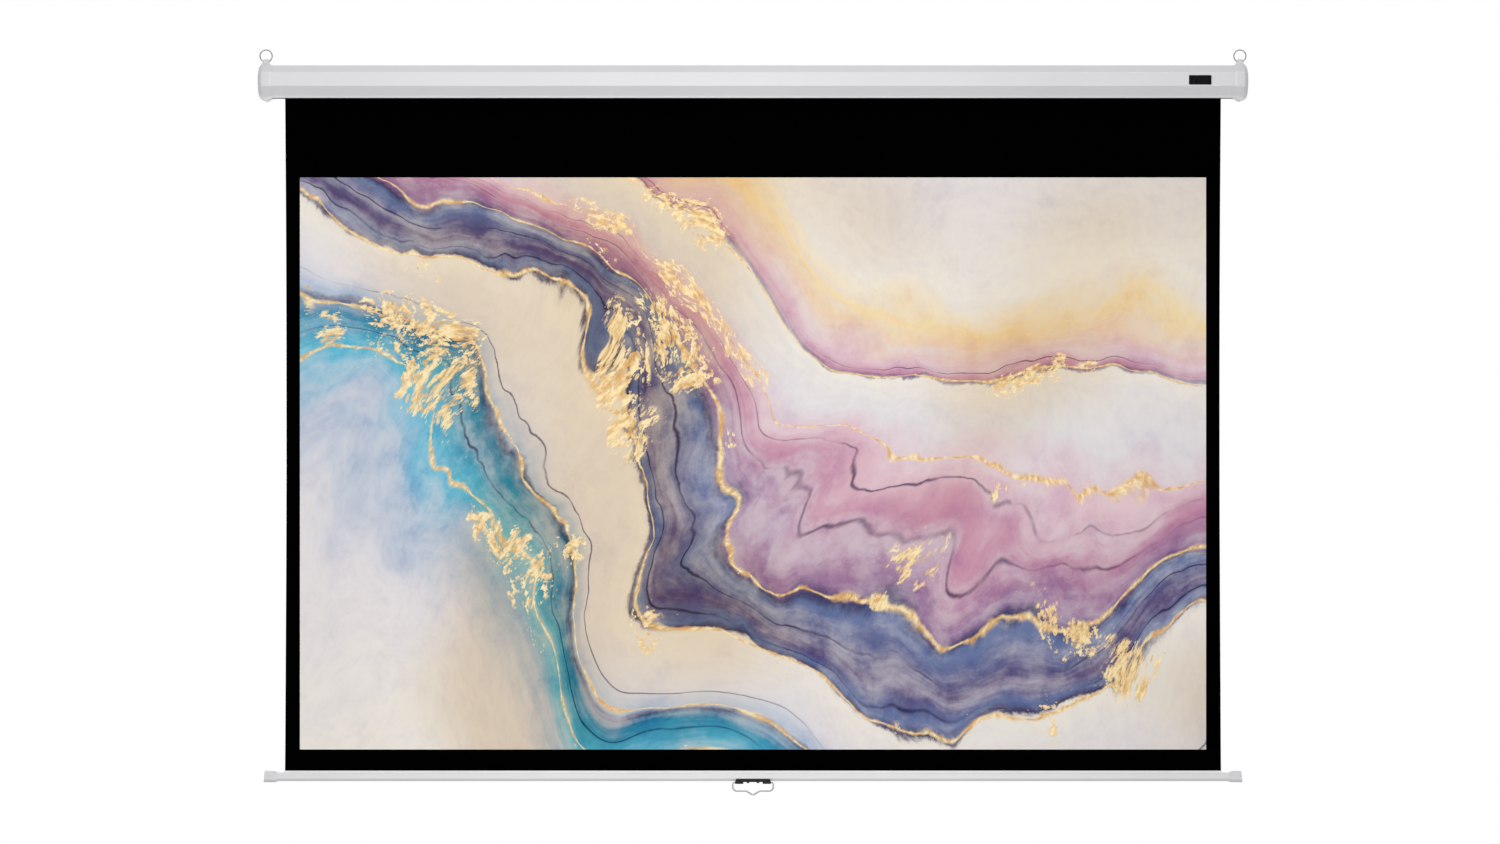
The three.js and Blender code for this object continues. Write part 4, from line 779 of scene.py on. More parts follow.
# Levels of the flow, from 0 to 1: the ribbons' colours, the gold veins and the ink lines
PICTURE_STOPS = (
    (0.00, CREAM), (0.17, PEARL), (0.25, MIST), (0.29, AQUA), (0.338, TEAL), (0.346, DEEP_INK), (0.35, MIST),
    (0.38, PEARL), (0.445, CREAM), (0.449, DEEP_INK), (0.457, SLATE), (0.475, PLUM), (0.512, SLATE),
    (0.521, DEEP_INK), (0.525, MAUVE), (0.56, ROSE), (0.59, BLUSH), (0.64, PEARL), (0.72, CREAM),
    (0.724, PLUM), (0.731, ROSE), (0.755, BLUSH), (0.82, SAND), (0.88, CREAM), (1.00, PEARL),
)
VEIN_LEVELS = (0.29, 0.348, 0.448, 0.523, 0.60, 0.723)
INK_LEVELS = (0.315, 0.372, 0.462, 0.492, 0.553, 0.578, 0.74)
INK_WIDTH = 0.0019  # to each side of its level, like the veins' least and greatest width
VEIN_WIDTHS = (0.0012, 0.006)
GOLD_REACH = 0.06  # how far from a vein its flakes lie, in levels of the flow
GOLD_COVER = 0.92  # the most of the picture that the gold hides

# Each drift's patterns a metre, how far it pushes in metres, and its noise's detail
DRIFTS = ((0.8, 0.9, 1.0), (2.1, 0.36, 2.0), (6.0, 0.085, 2.0), (19.0, 0.016, 3.0))
SLANT = 0.36  # how much of the width the flow takes in


def picture_flow(f, place):
    """The flow is the height plus part of the width and a slow sine, all taken at a place that the drifts
    have pushed aside. It gives that place, the flow from 0 to 1, and the distance along the flow."""
    x, _, z = f.split(place)
    spot = f.join(x, 0.0, z - float(BORDER_HIGH[2] + MASK_LOW[2]) / 2)
    for scale, push, detail in DRIFTS:
        drift = f.noise(spot, scale, detail, output="Color")
        spot = f.vector("MULTIPLY_ADD", drift, (push,) * 3, f.vector("SUBTRACT", spot, (push / 2,) * 3))
    u, _, v = f.split(spot)
    flow = (v + SLANT * u + 0.16 * f.math("SINE", 2.6 * u + 0.9)) * 0.5 + 0.5
    return spot, flow, u - SLANT * v


def picture(f, place):
    """A generic marbled picture. A ramp colours the flow in ribbons, layers and washes of noise fog and stain
    them, and ink lines and gold veins follow some of its levels."""
    spot, flow, along = picture_flow(f, place)
    wash = f.noise(spot, scale=4.0, detail=8.0, roughness=0.62)
    fine = f.noise(spot, scale=30.0, detail=8.0, roughness=0.72)
    cells = f.noise(place, scale=11.0, detail=8.0, roughness=0.66)
    layers = f.noise(f.join(34.0 * flow, 0.0, 2.6 * along), scale=1.0, detail=7.0, roughness=0.62)
    tone = f.ramp(flow + 0.06 * (wash - 0.5) + 0.012 * (fine - 0.5), PICTURE_STOPS)
    tone = f.mix(f.step(0.35 * cells + 0.65 * layers, 0.42, 0.64, 0.0, 0.52), tone, opaque(PEARL))
    tone = f.mix(f.step(cells, 0.3, 0.5, 0.4, 0.0), tone, opaque(SLATE), "SOFT_LIGHT")
    tone = f.mix(f.step(fine, 0.35, 0.75, 0.0, 0.35), tone, opaque(PLUM), "SOFT_LIGHT")
    glow = f.step(f.noise(place, scale=1.35, detail=1.0), 0.46, 0.66, 0.0, 0.75)
    tone = f.mix(glow, tone, opaque(WARM_WHITE), "MULTIPLY")
    ink = f.largest(*(f.line(flow, level, INK_WIDTH) for level in INK_LEVELS))
    tone = f.mix(ink * f.step(wash, 0.35, 0.6, 0.0, 0.9), tone, opaque(PLUM), "MULTIPLY")
    glint = f.step(f.noise(spot, scale=60.0, detail=5.0, roughness=0.75), 0.35, 0.65)
    gleam = f.mix(glint, opaque(GOLD), opaque(PALE_GOLD))
    return f.mix(gold_leaf(f, place, spot, flow, cells, fine) * GOLD_COVER, tone, gleam)


def gold_leaf(f, place, spot, flow, cells, fine):
    """Where the gold lies: on veins of uneven width and, in patches near them, as flakes, spray and leaf."""
    width = f.step(cells, 0.35, 0.7, *VEIN_WIDTHS)
    vein = f.largest(*(f.line(flow, level, width) for level in VEIN_LEVELS))
    near = f.largest(*(f.line(flow, level, GOLD_REACH) for level in VEIN_LEVELS))
    patch = near * f.step(f.noise(place, scale=2.6, detail=3.0), 0.5, 0.62)
    flake = f.cells(spot, scale=42.0)
    flake = f.step(flake - 0.5 * patch, -0.22, -0.12, 1.0, 0.0)
    spray = f.cells(spot, scale=85.0)
    spray = f.step(spray - 0.42 * patch, -0.02, 0.05, 1.0, 0.0)
    leaf = f.step(patch * f.step(fine, 0.44, 0.58), 0.3, 0.45)
    return f.largest(vein, f.largest(flake, spray) * near, leaf)


def screen_front(f):
    """The matt white front, with the picture inside the printed black border."""
    s = model()
    place = f.place()
    x, _, z = f.split(place)
    grain = cloth_grain(f, place)
    normal = front_bump(f, place, grain)
    border = f.largest(
        f.math("GREATER_THAN", abs(x), float(SIDE_LOW[0])),
        f.math("GREATER_THAN", z, float(MASK_LOW[2])),
        f.math("LESS_THAN", z, float(BORDER_HIGH[2])),
    )
    surface = f.mix(s.sheet.picture_strength, opaque(s.finishes.screen_matt), picture(f, place))
    matt = f.shader(surface, 0.82 + 0.08 * grain, normal, {"Specular IOR Level": 0.08})
    printed = f.shader(opaque(s.finishes.screen_border), 0.9, normal, {"Specular IOR Level": 0.0})
    return f.mix_shader(border, matt, printed)


def border_print(f):
    """The printed black border on the hem."""
    tone = model().finishes.screen_border
    place = f.place()
    grain = cloth_grain(f, place)
    base = f.mix(grain, opaque(tone), tinted(tone, 1.4))
    return f.shader(base, 0.9, front_bump(f, place, grain), {"Specular IOR Level": 0.0})


def pale_floor(f):
    """A plain pale studio floor that runs out softly into the white around it, and is clear from below."""
    place = f.place()
    cloud = f.noise(place, scale=1.5, detail=3.0)
    base = f.mix(cloud, opaque((0.64, 0.64, 0.64)), opaque((0.68, 0.68, 0.68)))
    x, y, _ = f.split(place)
    half = model().stage.floor_size / 2
    near, far = 0.45 * half, 0.97 * half
    fade = f.step(x * x + y * y, near**2, far**2) * f.seen()
    white = f.node("ShaderNodeEmission", sockets={"Color": WHITE, "Strength": 1.0})
    floor = f.mix_shader(fade, f.shader(base, 0.7), white)
    below = f.node("ShaderNodeNewGeometry", output="Backfacing")
    return f.mix_shader(below, floor, f.node("ShaderNodeBsdfTransparent"))


def dark_card(f):
    """The dark card that the bright wires mirror."""
    cloud = f.noise(f.place(), scale=0.6, detail=2.0)
    base = f.mix(cloud, opaque((0.012, 0.012, 0.013)), opaque((0.022, 0.022, 0.023)))
    return f.shader(base, 0.9, constants={"Specular IOR Level": 0.0})


def finish(describe):
    """The material that one of the functions above describes, made when it is first asked for."""
    material = bpy.data.materials.get(describe.__name__)
    if material is None:
        f = Finish(describe.__name__)
        material = f.done(describe(f))
    return material


# Sizes and outlines that several pieces share

OVERRUN = 5 * MM  # how far a cutter runs past the piece that it cuts
SCREW_HEAD = 2.2 * MM  # height of a screw's head


def case_corners():
    """The case's closed outer outline, as (y, z) corners from the foot of its rear face."""
    s = model().case
    top, bottom, front = CASE_HIGH[2], CASE_LOW[2], CASE_LOW[1]
    return points(
        (0, bottom),
        (0, top),
        (front + s.upper_bevel_depth, top),
        (front, top - s.upper_bevel_height),
        (front, bottom + s.lip + s.lower_bevel_height),
        (front + s.lower_bevel_depth, bottom + s.lip),
        (front + s.lower_bevel_depth, bottom),
    )


def bar_corners(side, above, below):
    """The bar's outline grown at its sides, top and foot, as (y, z) corners from the front of its foot."""
    s = model().bar
    half = (BAR_HIGH[1] - BAR_LOW[1]) / 2 + side
    foot = BAR_LOW[2] - below
    return points(
        (SHEET_Y - half + s.slope_depth, foot),
        (SHEET_Y + half - s.slope_depth, foot),
        (SHEET_Y + half, foot + s.slope_height),
        (SHEET_Y + half, BAR_HIGH[2] + above),
        (SHEET_Y - half, BAR_HIGH[2] + above),
        (SHEET_Y - half, foot + s.slope_height),
    )


def bar_outline(side, above, below):
    s = model().bar
    radii = [s.slope_round] * 3 + [s.top_round] * 2 + [s.slope_round]
    return rounded(bar_corners(side, above, below), radii, 9)


# Case, end caps and what is on them

def build_case():
    """The folded steel section: one closed outline, outer line and inner line, carried along X. Its top has a
    hole for each rivet of the end plates."""
    s = model().case
    hole_radius, hole_reach = 2.2 * MM, 4 * MM
    closed = case_corners()
    outer = np.vstack([[-s.rear_flange, closed[0, 1]], closed, [closed[-1, 0] + s.lip_return, closed[-1, 1]]])
    inner = offset(outer, -s.wall, closed=False)
    bends = np.full(len(outer), s.bend + s.wall)
    lip_bend = len(outer) - 3
    bends[lip_bend] = s.bend
    inner_bends = 2 * s.bend + s.wall - bends
    bends[[0, -1]] = s.edge
    inner_bends[[0, -1]] = s.edge
    outline = rounded(np.vstack([outer, inner[::-1]]), np.concatenate([bends, inner_bends[::-1]]), 10)
    stations = np.linspace(CASE_LOW[0], CASE_HIGH[0], 25)
    case = add_piece("case_profile", along_x(outline, stations), sharp=40)
    holes = []
    for side in (-1, 1):
        for node in ("right_plate_rivet_rear", "right_plate_rivet_front"):
            middle = centre_of(node) * (side, 1, 1)
            hole = [(hole_radius, CASE_HIGH[2] - hole_reach), (hole_radius, CASE_HIGH[2] + hole_reach)]
            holes.append(add_piece("hole", turned(hole, middle, "z", 32)))
    carve(case, "DIFFERENCE", holes, 40)
    flat_faces_first(case)
    dress(case, "case", "case_white", finish(powder_coat), "case_shell")


SWELL_SHARES = np.array([1, 0, 0, 0, 0, 0.5, 1])  # how much of the foot's swell each corner takes


def cap_section(cover, swell, shrink):
    """One section of the cap: the case's outline grown by the cover, with its rear kept on the wall, its foot
    lowered by the swell, and all of it drawn in about the middle of the cap's end."""
    corners = offset(case_corners(), cover)
    corners[:, 0] = np.minimum(corners[:, 0], 0)
    corners[:, 1] -= swell * SWELL_SHARES
    middle = np.array([ROLLER_AXIS[1], 0])
    return middle + (rounded(corners, model().cap.edge, 9) - middle) * shrink


def cap_grid():
    """The cap's outside: its cover grows from a thin leading edge, and its foot swells and draws in by half,
    on eased curves, and its end closes on a quarter circle of sections."""
    s = model().cap
    start = CAP_LOW[0]
    seat = start + s.collar + s.gap
    dome_start = seat + s.body
    lead = start + s.lead_in * np.linspace(0, 1, 9)
    body = np.linspace(start + s.lead_in, dome_start, 22)[1:]
    turn = np.linspace(0, np.pi / 2, 19)[1:]
    stations = np.concatenate([lead, body, dome_start + s.dome * np.sin(turn)])
    lead_share = ease((stations - start) / s.lead_in)
    cover = s.gap + s.lead_wall + (s.cover - s.gap - s.lead_wall) * lead_share
    lowest = seat + s.swell_reach
    rise = ease((stations - start) / (lowest - start))
    fall = 1 - 0.5 * ease((stations - lowest) / (dome_start - lowest))
    shrink = np.ones(len(stations))
    shrink[-len(turn):] = 1 - (1 - np.cos(turn)) * (1 - s.dome_end)
    sections = [cap_section(c, w, k) for c, w, k in zip(cover, s.swell * rise * fall, shrink)]
    return along_x(np.array(sections), stations)


def lug_grid():
    """The hanging lug: each level is a squared ellipse, narrower towards the top, with a flare at its foot
    that dies away exponentially. Its depth follows the round of the ring's hole above the hole's middle, and
    the levels crowd towards the top, where that round closes."""
    s = model().cap
    root, flare_height, crowding, squareness = 1 * MM, 0.9 * MM, 1.6, 4.5
    foot, top = CASE_HIGH[2] - root, CAP_HIGH[2]
    skin = CASE_HIGH[2] + s.cover
    radius = s.hole + s.lug_wall
    rise = np.linspace(0, 1, 40)
    level = foot + (top - foot) * (1 - (1 - rise) ** crowding)
    flare = s.lug_fillet * np.exp(-np.clip(level - skin, 0, None) / flare_height)
    half_width = np.interp(level, [CASE_HIGH[2], top], [s.lug_base / 2, s.lug_top / 2])
    above = np.clip(level - RING_PIVOT[2], 0, 0.999 * radius)
    round_depth = np.sqrt(radius**2 - above**2)
    side_depth = np.interp(level, [foot, RING_PIVOT[2]], [s.lug_depth / 2, radius])
    half_depth = np.where(level > RING_PIVOT[2], round_depth, side_depth)
    angle = np.linspace(0, 2 * np.pi, 64, endpoint=False)
    around = np.stack([np.cos(angle), np.sin(angle)])
    cosine, sine = np.sign(around) * np.abs(around) ** (2 / squareness)
    grid = np.empty((len(level), len(angle), 3))
    grid[..., 0] = RING_PIVOT[0] + (half_width + flare)[:, None] * cosine
    grid[..., 1] = RING_PIVOT[1] + (half_depth + flare)[:, None] * sine
    grid[..., 2] = level[:, None]
    return grid


def build_caps():
    """A moulded cap over each end of the case, with its lug, ring hole, case socket and sunk screw seats. The
    ring's hole widens towards its mouths with the fourth power of the distance from its middle."""
    s = model().cap
    rear_opening, socket_round = 5 * MM, 2 * MM
    shank_hole, head_sink = 2 * MM, 0.15 * MM
    cap = add_piece("right_cap_moulding", cap_grid(), sharp=35)
    lug = add_piece("lug", lug_grid())
    carve(cap, "UNION", [lug], 35)
    seat = CAP_LOW[0] + s.collar + s.gap
    socket_corners = offset(case_corners(), s.gap)
    socket_corners[:2, 0] = rear_opening
    socket_outline = rounded(socket_corners, socket_round, 6)
    socket = add_piece("socket", along_x(socket_outline, [CAP_LOW[0] - OVERRUN, seat]))
    across = np.linspace(-1, 1, 17)
    hole_half = 0.62 * s.lug_base
    hole_radius = s.hole + s.hole_flare * across**4
    profile = np.stack([hole_radius, RING_PIVOT[0] + hole_half * across], axis=1)
    tools = [socket, add_piece("ring_hole", turned(profile, RING_PIVOT, "x", 64))]
    for node in ("right_cap_screw_upper", "right_cap_screw_lower"):
        sunk = high(node)[0] - SCREW_HEAD - head_sink
        radius = (high(node)[2] - low(node)[2]) / 2 + 2 * s.screw_clearance
        bore = [(shank_hole, CAP_LOW[0] - OVERRUN), (shank_hole, sunk)]
        bore += [(radius, sunk), (radius, CAP_HIGH[0] + OVERRUN)]
        tools.append(add_piece("bore", turned(bore, centre_of(node), "x", 64)))
    carve(cap, "DIFFERENCE", tools, 35)
    flat_faces_first(cap)
    dress_pair(cap, "case", "cap_white", finish(moulded_white), "right_end_cap")


def build_rings():
    """Each hanging ring is a torus: a round wire carried round a circle."""
    middle = (RING_LOW + RING_HIGH) / 2
    wire_radius = (RING_HIGH[1] - RING_LOW[1]) / 2
    radius = (RING_HIGH[0] - RING_LOW[0]) / 2 - wire_radius
    around = np.linspace(0, 2 * np.pi, 96, endpoint=False)[:, None]
    about = np.linspace(0, 2 * np.pi, 24, endpoint=False)[None, :]
    reach = radius + wire_radius * np.cos(about)
    depth = np.broadcast_to(wire_radius * np.sin(about), (len(around), about.size))
    grid = middle + np.stack([reach * np.sin(around), depth, reach * np.cos(around)], axis=-1)
    ring = add_piece("right_ring_wire", grid, closed=True)
    ring.data.flip_normals()
    # The rings' plating is darkened as a painted shade for their dark reflections.
    dress_pair(ring, "right_ring", "chrome_wire", finish(ring_wire), "right_hanging_ring")


def build_badge():
    """A bare black plate with rounded corners and a bevelled face, stuck on the case's front."""
    corner_round = 1.5 * MM
    bevel = points((0.9, 0.0), (0.55, 0.03), (0.25, 0.12), (0.08, 0.3), (0.0, 0.55)) * MM
    (left, front, foot), (right, back, top) = BADGE_LOW, BADGE_HIGH
    outline = rounded(points((foot, left), (top, left), (top, right), (foot, right)), corner_round, 8)
    rings = [(inset(outline, inward), front + behind) for inward, behind in bevel] + [(outline, back)]
    grid = np.array([np.stack([line[:, 1], np.full(len(line), y), line[:, 0]], axis=1) for line, y in rings])
    plate = add_piece("badge_plate", grid, sharp=60)
    dress(plate, "case", "black_plastic", finish(badge_lacquer), "name_badge")


# Fasteners

def cross_cutter(tip, mouth, half_length, half_width):
    """A tapered cross, as its (u, v) corners at three depths from a small tip to past a full mouth. Each
    arm's three corners are the last arm's, turned by a quarter: (u, v) becomes (-v, u)."""
    arm = points((half_length, -half_width), (half_length, half_width), (half_width, half_width))
    arms = [arm]
    for _ in range(3):
        arms.append(np.stack([-arms[-1][:, 1], arms[-1][:, 0]], axis=1))
    tip_share, past_share = 0.45, 1.1
    shares = np.array([tip_share, 1.0, past_share])[:, None, None]
    return np.vstack(arms)[None] * shares, np.array([tip, mouth, 2 * mouth - tip])


def pan_head(radius, seat, crown, shank, tip):
    """A pan-head screw's profile from its tip: a tapered point, the shank, the head's underside, its upright
    side and a crown on a squared quarter of an ellipse."""
    point, edge = 0.2 * MM, 0.15 * MM
    side_share, squareness, dome_share = 0.4, 0.7, 0.97
    turn = np.linspace(0, np.pi / 2 * dome_share, 12)
    side = seat + (crown - seat) * side_share
    dome = np.stack([radius * np.cos(turn) ** squareness, side + (crown - side) * np.sin(turn)], axis=1)
    shaft = [(point, tip), (shank, tip + shank), (shank, seat)]
    return np.vstack([shaft, [(radius - edge, seat), (radius, seat + edge)], dome])


def build_screw(name, node, axis, direction, shank):
    """One cross-recess screw, in its node's place, with its head at the outer end."""
    recess_depth, recess_length, recess_width = 1.2 * MM, 3.5 * MM, 0.84 * MM
    clear = 0.1 * MM
    lowest, highest = low(node), high(node)
    along, first, second = AXES[axis]
    middle = centre_of(node)
    radius = (highest[first] - lowest[first]) / 2
    crown, tip = (highest[along], lowest[along]) if direction > 0 else (-lowest[along], -highest[along])
    screw = turned(pan_head(radius, crown - SCREW_HEAD, crown, shank, tip), middle, axis, 40)
    arms, depths = cross_cutter(crown - recess_depth, crown + clear, recess_length / 2, recess_width / 2)
    cutter = np.empty(arms.shape[:2] + (3,))
    cutter[..., along] = depths[:, None]
    cutter[..., first] = middle[first] + arms[..., 0]
    cutter[..., second] = middle[second] + arms[..., 1]
    if direction < 0:
        screw[..., along] *= -1
        cutter[..., along] *= -1
        screw, cutter = screw[:, ::-1], cutter[:, ::-1]
    piece = add_piece(name, screw, sharp=40)
    return carve(piece, "DIFFERENCE", [add_piece("recess", cutter)], 40)


def build_cap_screws():
    """The two screws that hold each cap to its end plate."""
    shank = 1.7 * MM
    for place in ("upper", "lower"):
        node = f"right_cap_screw_{place}"
        screw = build_screw(f"right_cap_screw_head_{place}", node, "x", 1, shank)
        dress_pair(screw, "case", "zinc_steel", finish(zinc_plate), node)


def build_rivets():
    """Domed rivets with a dimple where the mandrel broke off, through the case's top and the end plates. From
    the foot: the blind end, the shank, then a dome that narrows evenly while its height follows a sine raised
    to a power."""
    rise, fit, blind_height = 0.6 * MM, 0.05 * MM, 1 * MM
    shank_share, crown_share, fullness = 0.59, 0.38, 0.8
    for place in ("rear", "front"):
        node = f"right_plate_rivet_{place}"
        skin, bottom = CASE_HIGH[2], low(node)[2]
        radius = (high(node)[0] - low(node)[0]) / 2
        blind = [(0.4, 0.0), (1.0, 0.2 * MM), (1.0, 0.9 * MM), (shank_share, blind_height)]
        dimple = [(0.34, 0.08 * MM), (0.3, 0.4 * MM), (0.1, 0.45 * MM)]
        profile = [(radius * across, bottom + height) for across, height in blind]
        profile.append((shank_share * radius, skin - fit))
        for turn in np.linspace(0, 1, 12):
            across = 1 - (1 - crown_share) * turn
            profile.append((radius * across, skin + rise * np.sin(np.pi / 2 * turn) ** fullness))
        profile += [(radius * across, skin + rise - depth) for across, depth in dimple]
        rivet = add_piece(f"right_rivet_{place}", turned(profile, centre_of(node), "z", 40), sharp=50)
        dress_pair(rivet, "case", "zinc_steel", finish(zinc_plate), node)


# Screen

# Each slack wave's share of the height, its length in metres, its start and its turn for each metre down
SLACK_WAVES = ((0.55, 0.71, 0.6, 0.0), (0.3, 0.37, 0.0, 1.9), (0.15, 0.19, 0.8, -2.3))
SIDE_FADE, FOOT_FADE, TOP_FADE = 0.12, 0.25, 0.3  # over which the waves die away, in metres


def sheet_slack(x, z, top, bottom):
    """How far the sheet stands behind its plane: one plus three slow sines across, faded out at every edge.
    It is never in front of the plane, so no wave leans towards the roll."""
    fade = ease((SHEET_HIGH[0] - np.abs(x)) / SIDE_FADE)
    fade = fade * ease((z - bottom) / FOOT_FADE) * ease((top - z) / TOP_FADE)
    waves = 0
    for part, span, start, turn in SLACK_WAVES:
        waves = waves + part * np.sin(2 * np.pi * x / span + start + turn * z)
    return model().sheet.wave * fade * (1 + waves)


def sheet_half(z):
    """Half the sheet's width: least at the middle height, and more by the square of the distance from it."""
    middle, reach = (SHEET_HIGH[2] + HEM_LOW[2]) / 2, (SHEET_HIGH[2] - HEM_LOW[2]) / 2
    return SHEET_HIGH[0] + model().sheet.flare * np.clip((z - middle) / reach, -1, 1) ** 2


def sheet_grid(x, z, front, back):
    """A thin closed band: the front from its top to its foot, then the back from its foot to its top. Its
    width follows the sheet's waisted sides."""
    slack = sheet_slack(x[:, None], z[None, :], z[0], z[-1])
    widened = x[:, None] * sheet_half(z)[None, :] / SHEET_HIGH[0]
    height = np.broadcast_to(z, slack.shape)
    faces = [np.stack([widened, plane + slack, height], axis=-1) for plane in (front, back)]
    return np.concatenate([faces[0], faces[1][:, ::-1]], axis=1)


def paint_back(piece, rows, columns, back):
    """The faces behind the front ones take the second material."""
    index = np.ones(len(piece.data.polygons), np.int32)
    side = np.arange((columns - 1) * 2 * rows) % (2 * rows)
    index[: len(side)] = side >= rows - 1
    piece.data.materials.append(back)
    piece.data.polygons.foreach_set("material_index", index)


def build_sheet():
    """The stretch of screen that winds up. It hangs from the roller's rear side down to the hem, and rides on
    the bar."""
    s = model().sheet
    half = SHEET_HIGH[0]
    top, foot = SHEET_HIGH[2], SHEET_LOW[2]
    x = np.linspace(-half, half, int(2 * half / s.step) + 1)
    z = np.linspace(top, foot, int((top - foot) / s.step) + 1)
    sheet = add_piece("screen_sheet", sheet_grid(x, z, MASK_LOW[1], SHEET_HIGH[1]), sharp=60)
    nodes = ("screen_fabric", "top_drop_border", "right_side_border", "left_side_border")
    dress(sheet, "bar", "screen_white", finish(screen_front), *nodes)
    paint_back(sheet, len(z), len(x), finish(screen_back))
    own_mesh(sheet)


def build_hem():
    """The short stretch below the picture, printed black, that stays with the bar."""
    half = HEM_HIGH[0]
    top, foot = SHEET_LOW[2], HEM_LOW[2]
    x = np.linspace(-half, half, 120)
    z = np.linspace(top, foot, 9)
    hem = add_piece("screen_hem", sheet_grid(x, z, BORDER_LOW[1], HEM_HIGH[1]), sharp=60)
    dress(hem, "bar", "screen_black", finish(border_print), "fabric_hem", "bottom_border")
    paint_back(hem, len(z), len(x), finish(screen_back))


def build_roll():
    """The turns left on the roller: a spiral band whose radius grows evenly with the turns, ending at the
    rear, where the sheet leaves it. The band is thinner than the spiral's step, so its turns don't touch."""
    s = model().sheet
    bedding, band_share = 0.3 * MM, 0.92
    inner = (high("roller_tube")[2] - low("roller_tube")[2]) / 2 + bedding
    outer = (high("wound_fabric")[2] - low("wound_fabric")[2]) / 2
    thickness = (outer - inner) / s.layers
    turns = np.linspace(0, s.layers, 64 * s.layers + 1)
    angle = -2 * np.pi * (turns - s.layers)
    middle = inner + thickness * (turns * (s.layers - 1) / s.layers + 0.5)
    half_band = band_share * thickness / 2
    spiral = np.stack([np.cos(angle), np.sin(angle)], axis=1)
    centre = ROLLER_AXIS[1:]
    outside = centre + spiral * (middle + half_band)[:, None]
    inside = centre + spiral * (middle - half_band)[:, None]
    outline = np.vstack([outside, inside[::-1]])[::-1]
    stations = np.linspace(low("wound_fabric")[0], high("wound_fabric")[0], 9)
    roll = add_piece("roll_turns", along_x(outline, stations), ends=False, sharp=50)
    close_band(roll, len(stations), len(outline))
    dress(roll, "roller", "screen_black", finish(screen_back), "wound_fabric")


def close_band(piece, rings, sides):
    """Closes a band's two ends with quads between its outer and inner lines."""
    place = np.empty(len(piece.data.vertices) * 3)
    piece.data.vertices.foreach_get("co", place)
    step = np.arange(sides // 2 - 1)
    near = np.stack([step, sides - 1 - step, sides - 2 - step, step + 1], axis=1)
    far = near[:, ::-1] + (rings - 1) * sides
    faces = np.vstack([grid_faces(rings, sides), near, far])
    piece.data = new_mesh(piece.name, place, faces.tolist())
    smooth(piece, 50)


# Weight bar

def build_bar():
    """The aluminium extrusion: sloping underside, small upper radii, and the groove that takes the clamp."""
    s = model().bar
    groove_round = 0.4 * MM
    groove_half = (CLAMP_HIGH[1] - CLAMP_LOW[1]) / 2 + s.gap
    foot = BAR_HIGH[2] - s.groove
    body = bar_corners(0, 0, 0)
    groove = points(
        (SHEET_Y + groove_half, BAR_HIGH[2]),
        (SHEET_Y + groove_half, foot),
        (SHEET_Y - groove_half, foot),
        (SHEET_Y - groove_half, BAR_HIGH[2]),
    )
    corners = np.vstack([body[:4], groove, body[4:]])
    radii = [s.slope_round] * 3 + [s.top_round] + [groove_round] * 4 + [s.top_round, s.slope_round]
    outline = rounded(corners, radii, 9)
    bar = add_piece("bar_extrusion", along_x(outline, np.linspace(BAR_LOW[0], BAR_HIGH[0], 13)), sharp=50)
    flat_faces_first(bar)
    dress(bar, "bar", "bar_white", finish(bar_paint), "weight_bar")


def build_clamp():
    """The strip that grips the hem: rounded shoulders, a slit for the sheet down to the hem's rod, and ends
    that slope to the bar."""
    s = model().bar
    foot_round, mouth_round, slit_round = 0.3 * MM, 0.15 * MM, 0.1 * MM
    slit, rod = s.slit / 2, high("hem_rod")[2]
    (_, front, foot), (_, back, top) = CLAMP_LOW, CLAMP_HIGH
    corners = points(
        (front, foot), (back, foot), (back, top), (SHEET_Y + slit, top),
        (SHEET_Y + slit, rod), (SHEET_Y - slit, rod), (SHEET_Y - slit, top), (front, top),
    )
    radii = [s.clamp_round, mouth_round, slit_round]
    outline = rounded(corners, [foot_round, foot_round] + radii + radii[::-1], 8)
    reach = CLAMP_HIGH[0] - s.clamp_slope * np.clip((outline[:, 1] - BAR_HIGH[2]) / (top - BAR_HIGH[2]), 0, 1)
    stations = np.linspace(-1, 1, 13)[:, None] * reach
    clamp = add_piece("clamp_strip", along_x(outline, stations), sharp=50)
    flat_faces_first(clamp)
    # The clamp's lighter tone is partly a painted highlight for the light on the bar's top.
    dress(clamp, "bar", "cap_white", finish(clamp_paint), "hem_clamp")


def shoe_grid():
    """The shoe's outside. Its outline grows from a thin lip on an eased curve, and its end leans outwards at
    the foot and is rounded over by a quarter circle of drawn-in outlines."""
    s = model().bar
    lip_length, lip_edge = 0.6 * MM, 0.25 * MM
    mouth, end = SHOE_LOW[0], SHOE_HIGH[0] + s.shoe_reach
    straight = end - mouth - s.shoe_edge
    turn = np.linspace(0, np.pi / 2, 9)
    lip = [0, lip_edge, 2 * lip_edge]
    neck = np.linspace(lip_length, s.shoe_neck, 14)
    halfway = [(s.shoe_neck + straight) / 2]
    run = np.concatenate([lip, neck, halfway, straight + s.shoe_edge * np.sin(turn)])
    grown = s.shoe_lip + (1 - s.shoe_lip) * ease(run / s.shoe_neck)
    drawn = np.zeros(len(run))
    drawn[-len(turn):] = s.shoe_edge * (1 - np.cos(turn))
    drawn[0] = lip_edge
    top, bottom = BAR_HIGH[2] + s.shoe_above, BAR_LOW[2] - s.shoe_below
    sections, stations = [], []
    for share_grown, inward, along in zip(grown, drawn, run):
        gap = s.gap * (1 - ease(along / s.shoe_neck))
        growth = [gap + size * share_grown for size in (s.shoe_side, s.shoe_above, s.shoe_below)]
        section = inset(bar_outline(*growth), inward)
        lean = s.shoe_slant * ease((along - s.shoe_neck) / (straight - s.shoe_neck))
        sections.append(section)
        stations.append(mouth + along - lean * (section[:, 1] - bottom) / (top - bottom))
    return along_x(np.array(sections), np.array(stations))


